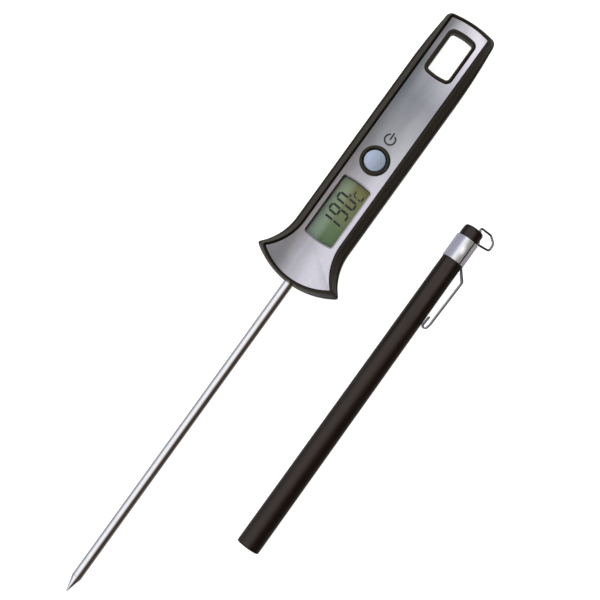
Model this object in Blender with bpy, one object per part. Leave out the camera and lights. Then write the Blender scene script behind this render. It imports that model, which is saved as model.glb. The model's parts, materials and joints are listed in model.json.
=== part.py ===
"""A digital stick thermometer and the pocket sheath that covers its probe.

The thermometer lies on its flat back with the display up. The sheath lies beside it. The dimensions below are
millimetres. X is across the handle and Z is up from the surface that everything lies on. In this file Y runs up
the handle from its lower end, where the probe leaves it, and the finished pieces are moved down by ORIGIN_Y, so that
the scene's origin is in the middle of the flat back.
"""

import math

import bmesh
import bpy
from mathutils import Vector

MM = 0.001
ORIGIN_Y = 42.0  # the middle of the flat part of the back

# Handle
HANDLE_END = 107.6
SHELL = {
    "width": 10.7,  # half of it, along the straight part
    "end_width": 9.7,
    "corner": (16.75, 5.2),  # where the lower edge and the flare would meet, before the corner is blunted
    "base": -0.32,
    "end": HANDLE_END,
    "round": 2.4,
    "blunt": 0.9,
}
FLARE_RADIUS = 20.0
END_BOW = 0.7  # how far the top end's edge bows out
TAPER_START, TAPER_LENGTH = 84.0, 20.0  # where the sides draw in towards the top end
CORNER_PULL = (1.556, -0.18)  # how far a flare corner moves for each unit that the outline grows
PART_Z = 6.8  # the joint between the two shells, which the probe's axis lies in
SEAM = 0.15  # half of the gap between the shells
CREST_Z = 12.95
WALL = 1.5
INNER_TOP_Z = 10.2  # the underside of the front shell's top wall
PLATE_BED_Z = 11.7
BACK_FLAT_END = 82.0
BACK_RISE = 4.2  # how far the back climbs from there to the top end

# Faceplate
PLATE_BOTTOM_Z, PLATE_TOP_Z = 12.0, 12.4
PLATE = {
    "width": 7.25,
    "end_width": 7.25,
    "corner": (13.2, 5.4),
    "base": 1.1,
    "end": 105.3,
    "round": 0.5,
    "blunt": 0.2,
}
PLATE_GAP = 0.12
RIM = 0.95  # from the plate's edge to the foot of the raised rim round it

# Display
DISPLAY_Y = 28.5
WINDOW_HALF = (5.45, 11.6)
LENS_HALF = (6.1, 12.25)
LENS_Z = (11.0, 11.6)
LCD_HALF = (6.4, 12.9)
LCD_Z = (7.7, 9.9)
HOLDER_Z = 7.3

# Button
BUTTON_Y = 49.5
CAP_RADIUS = 3.69
BEZEL_RADIUS, BEZEL_BORE, BEZEL_NECK = 5.2, 3.9, 4.7
SWITCH_HALF = 3.0
PLUNGER_RADIUS = 1.6

# Circuit board
BOARD_Y = (21.5, 62.6)
BOARD_HALF = 7.4
BOARD_Z = (5.2, 6.2)
POSTS = [(side * 5.8, y) for side in (-1, 1) for y in (23.6, 60.2)]

# Battery and its cover
BATTERY_Y = 71.5
BATTERY_RADIUS, BATTERY_Z = 5.8, (2.6, 8.0)
WELL_RADIUS, WELL_BORE = 8.4, 6.15
COVER_RADIUS, COVER_BOSS, COVER_TOP_Z = 7.7, 6.3, 2.3
LUG_RADIUS, LUG_HALF_WIDTH, LUG_Z = 7.25, 1.6, 1.8
UNLOCK_DEG = 60.0

# Hanging hole
HOLE_Y = 92.8
HOLE_HALF = (4.2, 7.6)
HOLE_RIM = 1.05

# Probe
PROBE_RADIUS, PROBE_BORE = 1.75, 1.4
PROBE_INNER_END = 13.5
TIP_SHOULDER, TIP_POINT = -120.25, -126.5
COLLAR_Y = (4.2, 10.2)
SEAL_Y = (1.8, 3.8)
LEAD_RADIUS, LEAD_X, LEAD_Z = 0.25, 0.6, 6.75

# Screws
SCREWS = [(-10.25, 8.2), (10.25, 8.2), (-7.0, 80.0), (7.0, 80.0)]
SCREW_HEAD, SCREW_SHANK = 1.5, 0.8

# Sheath
SHEATH_X, SHEATH_Z = 40.25, 4.2
MOUTH_Y, CLOSED_Y = -79.65, 51.45
MOUTH_RADIUS, NECK_RADIUS, END_RADIUS = 4.2, 3.85, 3.65
SEAT_RADIUS = 3.78  # the shallow groove that the clip's band sits in
SHEATH_BORE = (3.15, 2.95)  # at the mouth and where the straight bore ends
BORE_END = 42.0
BAND_Y = (38.1, 46.9)
BAND_RADIUS = (3.88, 4.14)
BAND_SLIT_DEG, BAND_SLIT = 50.0, 0.7
CLIP_WIDTH, CLIP_THICK = 3.4, 0.4
ARM_TURN_DEG = -10.0  # from level: the sheath has rolled a little towards its arm

# Sheath ring: a wire that passes through a slanting hole in the closed end's corner
WIRE_RADIUS = 0.4
EYE_RADIUS = 0.6
EYE_END = (1.9, 51.5)  # where the hole leaves the end face, from the sheath's axis
EYE_SIDE = (3.65, 48.0)  # where it leaves the side
FLOOR_GAP = 0.05

BLACK = ((0.030, 0.028, 0.025), 0.42, 0.0)
STEEL = ((0.62, 0.62, 0.65), 0.30, 1.0)
CHROME = ((0.80, 0.80, 0.83), 0.10, 1.0)


def clear_scene():
    for obj in list(bpy.data.objects):
        bpy.data.objects.remove(obj)


def make_material(name, look):
    color, roughness, metallic = look
    material = bpy.data.materials.new(name)
    material.use_nodes = True
    shader = material.node_tree.nodes["Principled BSDF"]
    shader.inputs["Base Color"].default_value = (*color, 1.0)
    shader.inputs["Roughness"].default_value = roughness
    shader.inputs["Metallic"].default_value = metallic
    return material


def add_piece(name, mesh, look=None, pivot=(0.0, ORIGIN_Y, 0.0), sharp_deg=32.0):
    """An object whose origin is at pivot. Without a look it is a cutter or an addition to another piece."""
    pivot = Vector(pivot)
    for vertex in mesh.verts:
        vertex.co = (vertex.co - pivot) * MM
    bmesh.ops.recalc_face_normals(mesh, faces=mesh.faces)
    data = bpy.data.meshes.new(name)
    mesh.to_mesh(data)
    mesh.free()
    obj = bpy.data.objects.new(name, data)
    obj.location = (pivot - Vector((0.0, ORIGIN_Y, 0.0))) * MM
    bpy.context.scene.collection.objects.link(obj)
    if look is None:
        obj.hide_render = True
        obj.display_type = "WIRE"
    else:
        data.materials.append(make_material(name, look))
        data.shade_smooth()
        data.set_sharp_from_angle(angle=math.radians(sharp_deg))
    return obj


def combine(target, operation, name, meshes):
    """One Boolean with all the meshes at once."""
    group = bpy.data.collections.new(f"{target.name}_{name}")
    for number, mesh in enumerate(meshes, 1):
        group.objects.link(add_piece(f"{target.name}_{name}_{number}", mesh))
    modifier = target.modifiers.new(name, "BOOLEAN")
    modifier.operation = operation
    modifier.operand_type = "COLLECTION"
    modifier.collection = group


def cut(target, name, *meshes):
    combine(target, "DIFFERENCE", name, meshes)


def join(target, name, *meshes):
    combine(target, "UNION", name, meshes)


def attach(child, parent):
    """child keeps its place and follows parent."""
    child.parent = parent
    child.location = child.location - parent.location


# ---- meshes ----


def box(x, y, z):
    """Each of x, y and z is a (low, high) pair."""
    mesh = bmesh.new()
    bmesh.ops.create_cube(mesh, size=1.0)
    for vertex in mesh.verts:
        vertex.co = [low + (c + 0.5) * (high - low) for c, (low, high) in zip(vertex.co, (x, y, z))]
    return mesh


def turned(profile, axis="Z", centre=(0.0, 0.0), segments=32, ring=False):
    """A solid of revolution. profile holds (radius, height) points. It starts and ends on the axis, or it is a
    closed ring. centre is where the axis stands: (x, y) for a Z axis and (x, z) for a Y axis."""
    mesh = bmesh.new()

    def place(radius, height, turn):
        across, along = radius * math.cos(turn), radius * math.sin(turn)
        if axis == "Z":
            return centre[0] + across, centre[1] + along, height
        return centre[0] + across, height, centre[1] + along

    turns = [2 * math.pi * i / segments for i in range(segments)]
    rows = []
    for radius, height in profile:
        if radius == 0.0:
            rows.append([mesh.verts.new(place(0.0, height, 0.0))] * segments)
        else:
            rows.append([mesh.verts.new(place(radius, height, turn)) for turn in turns])
    pairs = list(zip(rows, rows[1:]))
    if ring:
        pairs.append((rows[-1], rows[0]))
    for low, high in pairs:
        for i in range(segments):
            j = (i + 1) % segments
            corners = [low[i], low[j], high[j], high[i]]
            mesh.faces.new(list(dict.fromkeys(corners)))
    return mesh


def rod(radius, low, high, axis="Z", centre=(0.0, 0.0), segments=24):
    return turned([(0.0, low), (radius, low), (radius, high), (0.0, high)], axis, centre, segments)


def lofted(levels, lift=lambda y: 0.0):
    """A solid between outlines that are mirror images about x = 0. Each level is (half outline, z), and a half
    outline runs up the right side from the bottom centre to the top centre. lift raises the points by their y,
    less the nearer they are to the joint between the shells."""
    mesh = bmesh.new()
    rings = []
    for half, z in levels:
        loop = list(half) + [(-x, y) for x, y in half[-2:0:-1]]
        fade = max(0.0, 1.0 - z / (PART_Z - SEAM))
        rings.append([mesh.verts.new((x, y, z + fade * lift(y))) for x, y in loop])
    count = len(rings[0])
    for low, high in zip(rings, rings[1:]):
        for i in range(count):
            j = (i + 1) % count
            mesh.faces.new([low[i], low[j], high[j], high[i]])
    for ring in (rings[0], rings[-1]):
        if abs(ring[0].co.z - ring[count // 2].co.z) > 0.001:
            for i in range(count // 2):
                corners = [ring[i], ring[i + 1], ring[-i - 1], ring[-i]]
                mesh.faces.new(list(dict.fromkeys(corners)))
    bmesh.ops.triangulate(mesh, faces=mesh.faces)
    for ring in (rings[0], rings[-1]):
        if abs(ring[0].co.z - ring[count // 2].co.z) <= 0.001:
            mesh.faces.new(ring)
    return mesh


def swept(path, radius, normal, sides=12, closed=True):
    """A round wire along a flat path, whose plane has this normal."""
    mesh = bmesh.new()
    count = len(path)
    rings = []
    for i, point in enumerate(path):
        before = path[i - 1] if closed or i else point
        after = path[(i + 1) % count] if closed or i < count - 1 else point
        side = (after - before).normalized().cross(normal)
        turns = [2 * math.pi * k / sides for k in range(sides)]
        rings.append([mesh.verts.new(point + radius * (math.cos(a) * side + math.sin(a) * normal)) for a in turns])
    pairs = list(zip(rings, rings[1:]))
    if closed:
        pairs.append((rings[-1], rings[0]))
    for low, high in pairs:
        for k in range(sides):
            m = (k + 1) % sides
            mesh.faces.new([low[k], low[m], high[m], high[k]])
    if not closed:
        mesh.faces.new(rings[0])
        mesh.faces.new(rings[-1])
    return mesh


# ---- outlines ----


def arc(centre, radius, start_deg, end_deg, steps):
    turns = [math.radians(start_deg + (end_deg - start_deg) * i / steps) for i in range(steps + 1)]
    return [(centre[0] + radius * math.cos(a), centre[1] + radius * math.sin(a)) for a in turns]


def handle_outline(shape, grow=0.0):
    """Half of the handle's outline, moved outwards by grow: a bowed lower edge, a blunt corner, a hollow flare,
    a side and a bowed end."""
    width, end_width = shape["width"] + grow, shape["end_width"] + grow
    base_y, end_y = shape["base"] - grow, shape["end"] + grow
    end_round, blunt = max(0.4, shape["round"] + grow), max(0.15, shape["blunt"] + grow)
    corner_x = shape["corner"][0] + CORNER_PULL[0] * grow - blunt / 2
    corner_y = shape["corner"][1] + CORNER_PULL[1] * grow
    flare_radius = FLARE_RADIUS - grow
    height = corner_y - blunt / 2 - base_y
    bow = (corner_x**2 + height**2) / (2 * height)
    reach = math.degrees(math.asin(corner_x / bow))
    lower = arc((0.0, base_y + bow), bow, -90.0, -90.0 + reach, 8)
    flare_y = corner_y + blunt / 2
    waist_y = flare_y + math.sqrt(flare_radius**2 - (flare_radius - corner_x + width) ** 2)
    sweep = math.degrees(math.asin((waist_y - flare_y) / flare_radius))
    flare = arc((width + flare_radius, waist_y), flare_radius, 180.0 + sweep, 180.0, 8)
    shoulder = end_y - END_BOW
    side = [(width, 60.0), (width, BACK_FLAT_END)]
    side += [(width - (width - end_width) * k**2, TAPER_START + TAPER_LENGTH * k) for k in (0.5, 0.8)]
    corner_arc = arc((end_width - end_round, shoulder - end_round), end_round, 0.0, 80.0, 4)
    flat = end_width - end_round
    end = [(flat * k, end_y - END_BOW * k**2) for k in (0.8, 0.5, 0.25, 0.0)]
    return lower + flare + side + corner_arc + end


def expanded(half, distance):
    """The half outline moved outwards by distance, with sharp corners kept."""
    loop = list(half) + [(-x, y) for x, y in half[-2:0:-1]]
    moved = []
    for i in range(len(half)):
        before, here, after = (Vector(loop[k % len(loop)]) for k in (i - 1, i, i + 1))
        first, second = (here - before).normalized(), (after - here).normalized()
        normals = Vector((first.y, -first.x)), Vector((second.y, -second.x))
        middle = (normals[0] + normals[1]).normalized()
        moved.append(here + middle * distance / max(0.5, middle.dot(normals[0])))
    moved[0].x = moved[-1].x = 0.0
    return [(point.x, point.y) for point in moved]


def mixed(first, second, share):
    return [(a[0] + (b[0] - a[0]) * share, a[1] + (b[1] - a[1]) * share) for a, b in zip(first, second)]


def slot_half(half_size, centre_y, corner_radius, bow):
    """Half of a rounded rectangle whose short ends bow outwards."""
    width, length = half_size
    flat = width - corner_radius
    low = [(flat * k, centre_y - length - bow * (1.0 - k**2)) for k in (0.0, 0.5)]
    lower = arc((flat, centre_y - length + corner_radius), corner_radius, -90.0, 0.0, 4)
    upper = arc((flat, centre_y + length - corner_radius), corner_radius, 0.0, 90.0, 4)
    high = [(flat * k, centre_y + length + bow * (1.0 - k**2)) for k in (0.5, 0.0)]
    return low + lower + upper + high


def rounded_path(points, radii, closed, steps=5):
    """The flat path through points, with each corner rounded to its radius."""
    count = len(points)
    path = []
    for i, (point, radius) in enumerate(zip(points, radii)):
        here = Vector(point)
        if not closed and i in (0, count - 1):
            path.append(here)
            continue
        back = (Vector(points[i - 1]) - here).normalized()
        ahead = (Vector(points[(i + 1) % count]) - here).normalized()
        half_angle = back.angle(ahead) / 2
        centre = here + (back + ahead).normalized() * radius / math.sin(half_angle)
        start = here + back * radius / math.tan(half_angle) - centre
        end = here + ahead * radius / math.tan(half_angle) - centre
        for k in range(steps + 1):
            share = k / steps
            turn = start.angle(end)
            blend = (math.sin((1 - share) * turn) * start + math.sin(share * turn) * end) / math.sin(turn)
            path.append(centre + blend)
    return path


HOLE = slot_half(HOLE_HALF, HOLE_Y, 1.2, 0.25)


def back_lift(y):
    """The back is flat up to BACK_FLAT_END and then climbs to the handle's top end."""
    return BACK_RISE * max(0.0, y - BACK_FLAT_END) / (HANDLE_END - BACK_FLAT_END)


def window(grow):
    half_size = (WINDOW_HALF[0] + grow, WINDOW_HALF[1] + grow)
    return slot_half(half_size, DISPLAY_Y, 0.8, 0.35)


# ---- thermometer shells ----


def front_housing():
    """The upper shell: sloping sides, a raised rim round the faceplate's bed, and a collar round the hanging hole."""
    rim = handle_outline(PLATE, RIM)
    outside = [
        (handle_outline(SHELL, -0.2), PART_Z + SEAM),
        (handle_outline(SHELL), PART_Z + SEAM + 0.25),
        (rim, CREST_Z - 0.2),
        (handle_outline(PLATE, 0.78), CREST_Z),
        (handle_outline(PLATE, 0.62), CREST_Z),
        (handle_outline(PLATE, PLATE_GAP), PLATE_TOP_Z - 0.05),
        (handle_outline(PLATE, PLATE_GAP), PLATE_BED_Z),
    ]
    shell = add_piece("front_housing", lofted(outside), BLACK)
    ceiling = mixed(handle_outline(SHELL, -WALL), handle_outline(PLATE, RIM - WALL), 0.55)
    wall = handle_outline(SHELL, -WALL)
    cut(shell, "room", lofted([(wall, PART_Z - 1.0), (wall, PART_Z + 0.6), (ceiling, INNER_TOP_Z)]))
    collar = expanded(HOLE, HOLE_RIM)
    bosses = [rod(2.0, PART_Z + 0.3, INNER_TOP_Z + 0.4, centre=spot, segments=16) for spot in SCREWS]
    clamp = box((-4.2, 4.2), (1.2, 11.0), (PART_Z + 0.3, INNER_TOP_Z + 0.4))
    join(shell, "bosses", lofted([(collar, 8.8), (collar, 12.6), (expanded(HOLE, 0.75), 12.9)]), clamp, *bosses)
    pilots = [rod(1.0, PART_Z - 1.0, 9.4, centre=spot, segments=12) for spot in SCREWS]
    cut(
        shell,
        "openings",
        lofted([(HOLE, 8.0), (HOLE, 12.5), (expanded(HOLE, 0.45), 13.2)]),
        lofted([(window(-0.1), 9.0), (window(-0.1), 14.0)]),
        lofted([(window(0.85), LENS_Z[0] - 0.2), (window(0.85), 14.0)]),
        rod(BEZEL_NECK + 0.3, 9.0, 14.0, centre=(0.0, BUTTON_Y)),
        *pilots,
        *probe_seat(),
    )


def probe_seat():
    """The room for the seal and the collar, and the mouth that the tube leaves by."""
    seat = rod(3.7, 1.5, 10.5, "Y", (0.0, PART_Z))
    return seat, rod(PROBE_RADIUS + 0.3, -2.0, 14.0, "Y", (0.0, PART_Z), segments=26)


def rear_housing():
    """The lower shell: the flat back, the battery well, the screw bosses and the hanging hole's flared wall."""
    outside = [
        (handle_outline(SHELL, -0.2), PART_Z - SEAM),
        (handle_outline(SHELL), PART_Z - SEAM - 0.25),
        (handle_outline(SHELL, -0.1), 2.2),
        (handle_outline(SHELL, -0.45), 1.05),
        (handle_outline(SHELL, -1.05), 0.35),
        (handle_outline(SHELL, -1.9), 0.0),
    ]
    shell = add_piece("rear_housing", lofted(outside, back_lift), BLACK)
    room = [
        (handle_outline(SHELL, -2.4), WALL),
        (handle_outline(SHELL, -1.6), 2.7),
        (handle_outline(SHELL, -WALL), PART_Z + 1.0),
    ]
    cut(shell, "room", lofted(room, back_lift))
    battery_at = (0.0, BATTERY_Y)
    sleeve = lofted([(expanded(HOLE, 2.8), 0.7), (expanded(HOLE, 2.0), 8.5)], back_lift)
    cradle = box((-5.2, 5.2), (1.0, 12.0), (1.2, PART_Z - 0.3))
    well = rod(WELL_RADIUS, 1.0, 6.5, centre=battery_at, segments=32)
    bosses = [rod(2.5, 0.6, PART_Z - 0.3, centre=spot, segments=16) for spot in SCREWS]
    posts = [rod(1.1, 1.2, BOARD_Z[0] - 0.3, centre=spot, segments=8) for spot in POSTS]
    join(shell, "bosses", sleeve, cradle, well, *bosses, *posts)
    head_rooms = [rod(SCREW_HEAD + 0.4, -1.0, 1.8, centre=spot, segments=16) for spot in SCREWS]
    shank_holes = [rod(SCREW_SHANK + 0.25, 0.0, 8.0, centre=spot, segments=12) for spot in SCREWS]
    cut(
        shell,
        "openings",
        lofted([(expanded(HOLE, 1.9), -1.0), (expanded(HOLE, 0.9), 9.0)]),
        rod(WELL_BORE, 1.75, 8.0, centre=battery_at, segments=32),
        rod(LUG_RADIUS + 0.35, WALL, COVER_TOP_Z + 0.3, centre=battery_at),
        box((1.9, 5.6), (62.0, 67.5), (2.6, 8.0)),
        rod(COVER_RADIUS + 0.3, -1.0, 0.95, centre=battery_at, segments=32),
        rod(COVER_BOSS + 0.3, -1.0, 2.0, centre=battery_at, segments=32),
        lug_bars(LUG_RADIUS + 0.35, LUG_HALF_WIDTH + 0.4, (0.5, 2.0), UNLOCK_DEG),
        *head_rooms,
        *shank_holes,
        *probe_seat(),
    )


def lug_bars(reach, half_width, z, turn_deg):
    """A bar across the battery's axis, which stands for the two lugs of its cover, turned by this much."""
    mesh = box((-reach, reach), (-half_width, half_width), z)
    turn = math.radians(turn_deg)
    for vertex in mesh.verts:
        x, y = vertex.co.x, vertex.co.y
        vertex.co.x = x * math.cos(turn) - y * math.sin(turn)
        vertex.co.y = x * math.sin(turn) + y * math.cos(turn) + BATTERY_Y
    return mesh


def faceplate():
    """One brushed sheet with the display window, the button's hole and the hanging hole cut in it."""
    edge = handle_outline(PLATE)
    levels = [(edge, PLATE_BOTTOM_Z), (edge, PLATE_TOP_Z - 0.1), (handle_outline(PLATE, -0.08), PLATE_TOP_Z)]
    plate = add_piece("faceplate", lofted(levels), STEEL)
    cut(plate, "window", lofted([(window(0.0), 11.0), (window(0.0), 13.0)]))
    cut(plate, "button_hole", rod(BEZEL_NECK + 0.2, 11.0, 13.0, centre=(0.0, BUTTON_Y), segments=32))
    opening = expanded(HOLE, HOLE_RIM + PLATE_GAP)
    cut(plate, "hanging_hole", lofted([(opening, 11.0), (opening, 13.0)]))


# ---- display ----


def display():
    lens = slot_half(LENS_HALF, DISPLAY_Y, 1.2, 0.2)
    levels = [(lens, LENS_Z[0]), (lens, LENS_Z[1] - 0.1), (expanded(lens, -0.1), LENS_Z[1])]
    add_piece("display_lens", lofted(levels), ((0.75, 0.80, 0.78), 0.05, 0.0))
    low, high = DISPLAY_Y - LCD_HALF[1], DISPLAY_Y + LCD_HALF[1]
    add_piece("lcd_panel", box((-LCD_HALF[0], LCD_HALF[0]), (low, high), LCD_Z), ((0.22, 0.29, 0.21), 0.35, 0.0))
    outer, inner = LCD_HALF[0] + 0.9, LCD_HALF[0] + 0.3
    holder = add_piece("lcd_holder", box((-outer, outer), (low - 0.9, high + 0.9), (HOLDER_Z, LCD_Z[1] + 0.05)),
                       ((0.05, 0.05, 0.05), 0.5, 0.0))
    cut(holder, "opening", box((-inner, inner), (low - 0.3, high + 0.3), (5.0, 12.0)))
    for number, (side, y) in enumerate([(-1, 23.0), (1, 23.0), (-1, 40.0), (1, 40.0)], 1):
        foot_x = sorted((side * (inner + 0.05), side * outer))
        join(holder, f"foot_{number}", box(foot_x, (y - 0.8, y + 0.8), (BOARD_Z[1] + 0.3, HOLDER_Z + 0.3)))
    add_piece("zebra_strip", box((4.4, 6.2), (22.5, 40.5), (BOARD_Z[1] + 0.3, LCD_Z[0] - 0.3)),
              ((0.75, 0.45, 0.40), 0.7, 0.0))


# ---- electronics ----


def electronics():
    board = add_piece("circuit_board", box((-BOARD_HALF, BOARD_HALF), BOARD_Y, BOARD_Z), ((0.03, 0.16, 0.07), 0.5, 0.0))
    board.modifiers.new("edge", "BEVEL").width = 0.15 * MM
    dome = [(0.0, 4.9), (3.2, 4.9), (2.9, 4.3), (1.9, 3.85), (0.0, 3.7)]
    add_piece("controller_blob", turned(dome, centre=(0.0, 40.0), segments=20), ((0.02, 0.02, 0.02), 0.3, 0.0))
    across = (-SWITCH_HALF, SWITCH_HALF)
    along = (BUTTON_Y - SWITCH_HALF, BUTTON_Y + SWITCH_HALF)
    switch = add_piece("switch_body", box(across, along, (BOARD_Z[1] + 0.3, 8.6)), ((0.05, 0.05, 0.05), 0.5, 0.0))
    cut(switch, "bore", rod(PLUNGER_RADIUS + 0.3, 6.0, 9.0, centre=(0.0, BUTTON_Y)))
    pivot = (0.0, BUTTON_Y, 9.5)
    plunger = add_piece("switch_plunger", rod(PLUNGER_RADIUS, 7.2, 9.2, centre=(0.0, BUTTON_Y), segments=20),
                        ((0.6, 0.6, 0.58), 0.5, 0.0), pivot)
    cap = [(0.0, 9.5), (4.6, 9.5), (4.6, 10.1), (CAP_RADIUS, 10.1), (CAP_RADIUS, 12.85), (3.45, 13.1),
           (2.4, 13.27), (1.2, 13.36), (0.0, 13.4)]
    button = add_piece("power_button", turned(cap, centre=(0.0, BUTTON_Y)), ((0.42, 0.50, 0.60), 0.35, 0.0), pivot)
    attach(plunger, button)
    bezel = [(BEZEL_BORE, 10.4), (BEZEL_NECK, 10.4), (BEZEL_NECK, 12.55), (BEZEL_RADIUS, 12.55), (BEZEL_RADIUS, 12.8),
             (4.95, 13.1), (4.55, 13.2), (4.15, 13.1), (BEZEL_BORE, 12.8)]
    add_piece("button_bezel", turned(bezel, centre=(0.0, BUTTON_Y), ring=True), BLACK)


def battery():
    cell = [(0.0, 2.6), (5.5, 2.6), (BATTERY_RADIUS, 2.9), (BATTERY_RADIUS, 7.2), (5.5, 7.5), (4.9, 7.5),
            (4.9, 7.85), (4.6, BATTERY_Z[1]), (0.0, BATTERY_Z[1])]
    add_piece("battery_cell", turned(cell, centre=(0.0, BATTERY_Y)), STEEL)
    foot_z = BOARD_Z[1] + 0.3
    negative = add_piece("battery_contact_negative", box((-1.5, 1.5), (60.5, 74.0), (8.3, 8.6)), STEEL)
    join(negative, "leg", box((-1.5, 1.5), (60.5, 60.8), (foot_z, 8.45)))
    positive = add_piece("battery_contact_positive", box((2.5, 5.0), (60.9, 65.9), (foot_z, foot_z + 0.3)), STEEL)
    join(positive, "leg", box((2.5, 5.0), (65.6, 65.9), (3.0, foot_z + 0.15)))
    cover = [(0.0, 0.1), (7.4, 0.1), (COVER_RADIUS, 0.35), (COVER_RADIUS, 0.65), (COVER_BOSS, 0.65),
             (COVER_BOSS, COVER_TOP_Z), (0.0, COVER_TOP_Z)]
    door = add_piece("battery_cover", turned(cover, centre=(0.0, BATTERY_Y)), BLACK, (0.0, BATTERY_Y, 0.0))
    join(door, "lugs", lug_bars(LUG_RADIUS, LUG_HALF_WIDTH, (LUG_Z, COVER_TOP_Z), 0.0))
    cut(door, "coin_slot", box((-0.7, 0.7), (BATTERY_Y - 4.5, BATTERY_Y + 4.5), (-0.5, 0.7)))


def screws():
    """Self-tapping screws from the back, each with a cross recess in its head."""
    profile = [(0.0, 0.6), (1.2, 0.6), (SCREW_HEAD, 0.85), (SCREW_HEAD, 1.5), (SCREW_SHANK, 1.5),
               (SCREW_SHANK, 7.8), (0.2, 8.5), (0.0, 8.5)]
    for number, (x, y) in enumerate(SCREWS, 1):
        screw = add_piece(f"housing_screw_{number}", turned(profile, centre=(x, y), segments=16), STEEL)
        cut(screw, "slot_across", box((x - 0.95, x + 0.95), (y - 0.17, y + 0.17), (0.0, 1.15)))
        cut(screw, "slot_along", box((x - 0.17, x + 0.17), (y - 0.95, y + 0.95), (0.0, 1.15)))


# ---- probe ----


def probe():
    centre = (0.0, PART_Z)
    tube_end = TIP_SHOULDER + 0.05
    tube = [(PROBE_RADIUS, PROBE_INNER_END), (PROBE_RADIUS, tube_end), (PROBE_BORE, tube_end),
            (PROBE_BORE, PROBE_INNER_END)]
    add_piece("probe_tube", turned(tube, "Y", centre, ring=True), CHROME)
    tip = [(0.0, -116.2), (1.15, -116.2), (1.15, TIP_SHOULDER), (PROBE_RADIUS, TIP_SHOULDER),
           (PROBE_RADIUS, -120.5), (1.6, -121.15), (0.2, TIP_POINT + 0.2), (0.0, TIP_POINT)]
    add_piece("probe_tip", turned(tip, "Y", centre), CHROME)
    collar = [(2.05, COLLAR_Y[0]), (3.4, COLLAR_Y[0]), (3.4, 6.4), (2.9, 6.6), (2.9, 7.8), (3.4, 8.0),
              (3.4, COLLAR_Y[1]), (2.05, COLLAR_Y[1])]
    add_piece("probe_collar", turned(collar, "Y", centre, 24, ring=True), ((0.55, 0.42, 0.20), 0.35, 1.0))
    middle = (SEAL_Y[0] + SEAL_Y[1]) / 2
    seal = [(2.63 + 0.67 * math.cos(a), middle + 0.95 * math.sin(a)) for a in
            [2 * math.pi * k / 10 for k in range(10)]]
    add_piece("probe_seal", turned(seal, "Y", centre, 24, ring=True), ((0.02, 0.02, 0.02), 0.6, 0.0))
    bead = [(0.8 * math.sin(a), -113.4 - 1.1 * math.cos(a)) for a in [math.pi * k / 8 for k in range(9)]]
    bead[0], bead[-1] = (0.0, bead[0][1]), (0.0, bead[-1][1])
    add_piece("thermistor_bead", turned(bead, "Y", centre, 16), ((0.05, 0.05, 0.05), 0.3, 0.0))
    for number, side in enumerate((-1, 1), 1):
        lead = rod(LEAD_RADIUS, -112.0, 24.5, "Y", (side * LEAD_X, LEAD_Z), 8)
        add_piece(f"thermistor_lead_{number}", lead, ((0.55, 0.50, 0.45), 0.4, 1.0))


# ---- sheath ----


def sheath_tube():
    """A long tapering tube with its mouth towards the probe's tip and a closed end that carries the ring."""
    profile = [
        (0.0, 48.4), (0.6, 48.3), (SHEATH_BORE[1], BORE_END), (SHEATH_BORE[0], MOUTH_Y + 0.3), (3.3, MOUTH_Y),
        (3.95, MOUTH_Y), (MOUTH_RADIUS, MOUTH_Y + 0.4), (NECK_RADIUS, BAND_Y[0] - 0.3),
        (SEAT_RADIUS, BAND_Y[0] - 0.2), (SEAT_RADIUS - 0.06, BAND_Y[1]), (END_RADIUS, CLOSED_Y - 1.2),
        (3.5, CLOSED_Y - 0.65), (3.15, CLOSED_Y - 0.3), (2.4, CLOSED_Y - 0.1), (0.0, CLOSED_Y),
    ]
    centre = (SHEATH_X, SHEATH_Z)
    tube = add_piece("sheath_tube", turned(profile, "Y", centre), BLACK, (SHEATH_X, MOUTH_Y, SHEATH_Z))
    start, direction = eye_line()
    normal = Vector((0.0, 0.0, 1.0))
    line = [start + direction * distance for distance in (-2.0, 8.0)]
    cut(tube, "ring_eye", swept(line, EYE_RADIUS, normal, 16, closed=False))
    return tube


def eye_line():
    """The point where the slanting hole leaves the end face, and its direction towards the side."""
    first, last = Vector((*EYE_END, 0.0)), Vector((*EYE_SIDE, 0.0))
    return Vector((SHEATH_X, 0.0, SHEATH_Z)) + first, (last - first).normalized()


def sheath_clip():
    """A spring strip: a band round the sheath, slit along its length, and an arm that ends in a curl."""
    band = [(BAND_RADIUS[0], BAND_Y[0]), (BAND_RADIUS[1], BAND_Y[0]), (BAND_RADIUS[1], BAND_Y[1]),
            (BAND_RADIUS[0], BAND_Y[1])]
    centre = (SHEATH_X, SHEATH_Z)
    clip = add_piece("sheath_clip", turned(band, "Y", centre, ring=True), CHROME, (SHEATH_X, BAND_Y[0], SHEATH_Z))
    join(clip, "arm", clip_arm())
    low, high = BAND_Y
    across = (SHEATH_X + 1.0, SHEATH_X + 6.0)
    slit = box(across, (low - 1.0, high + 1.0), (SHEATH_Z - BAND_SLIT / 2, SHEATH_Z + BAND_SLIT / 2))
    turn_about_sheath(slit, BAND_SLIT_DEG)
    cut(clip, "slit", slit)
    return clip


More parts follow.
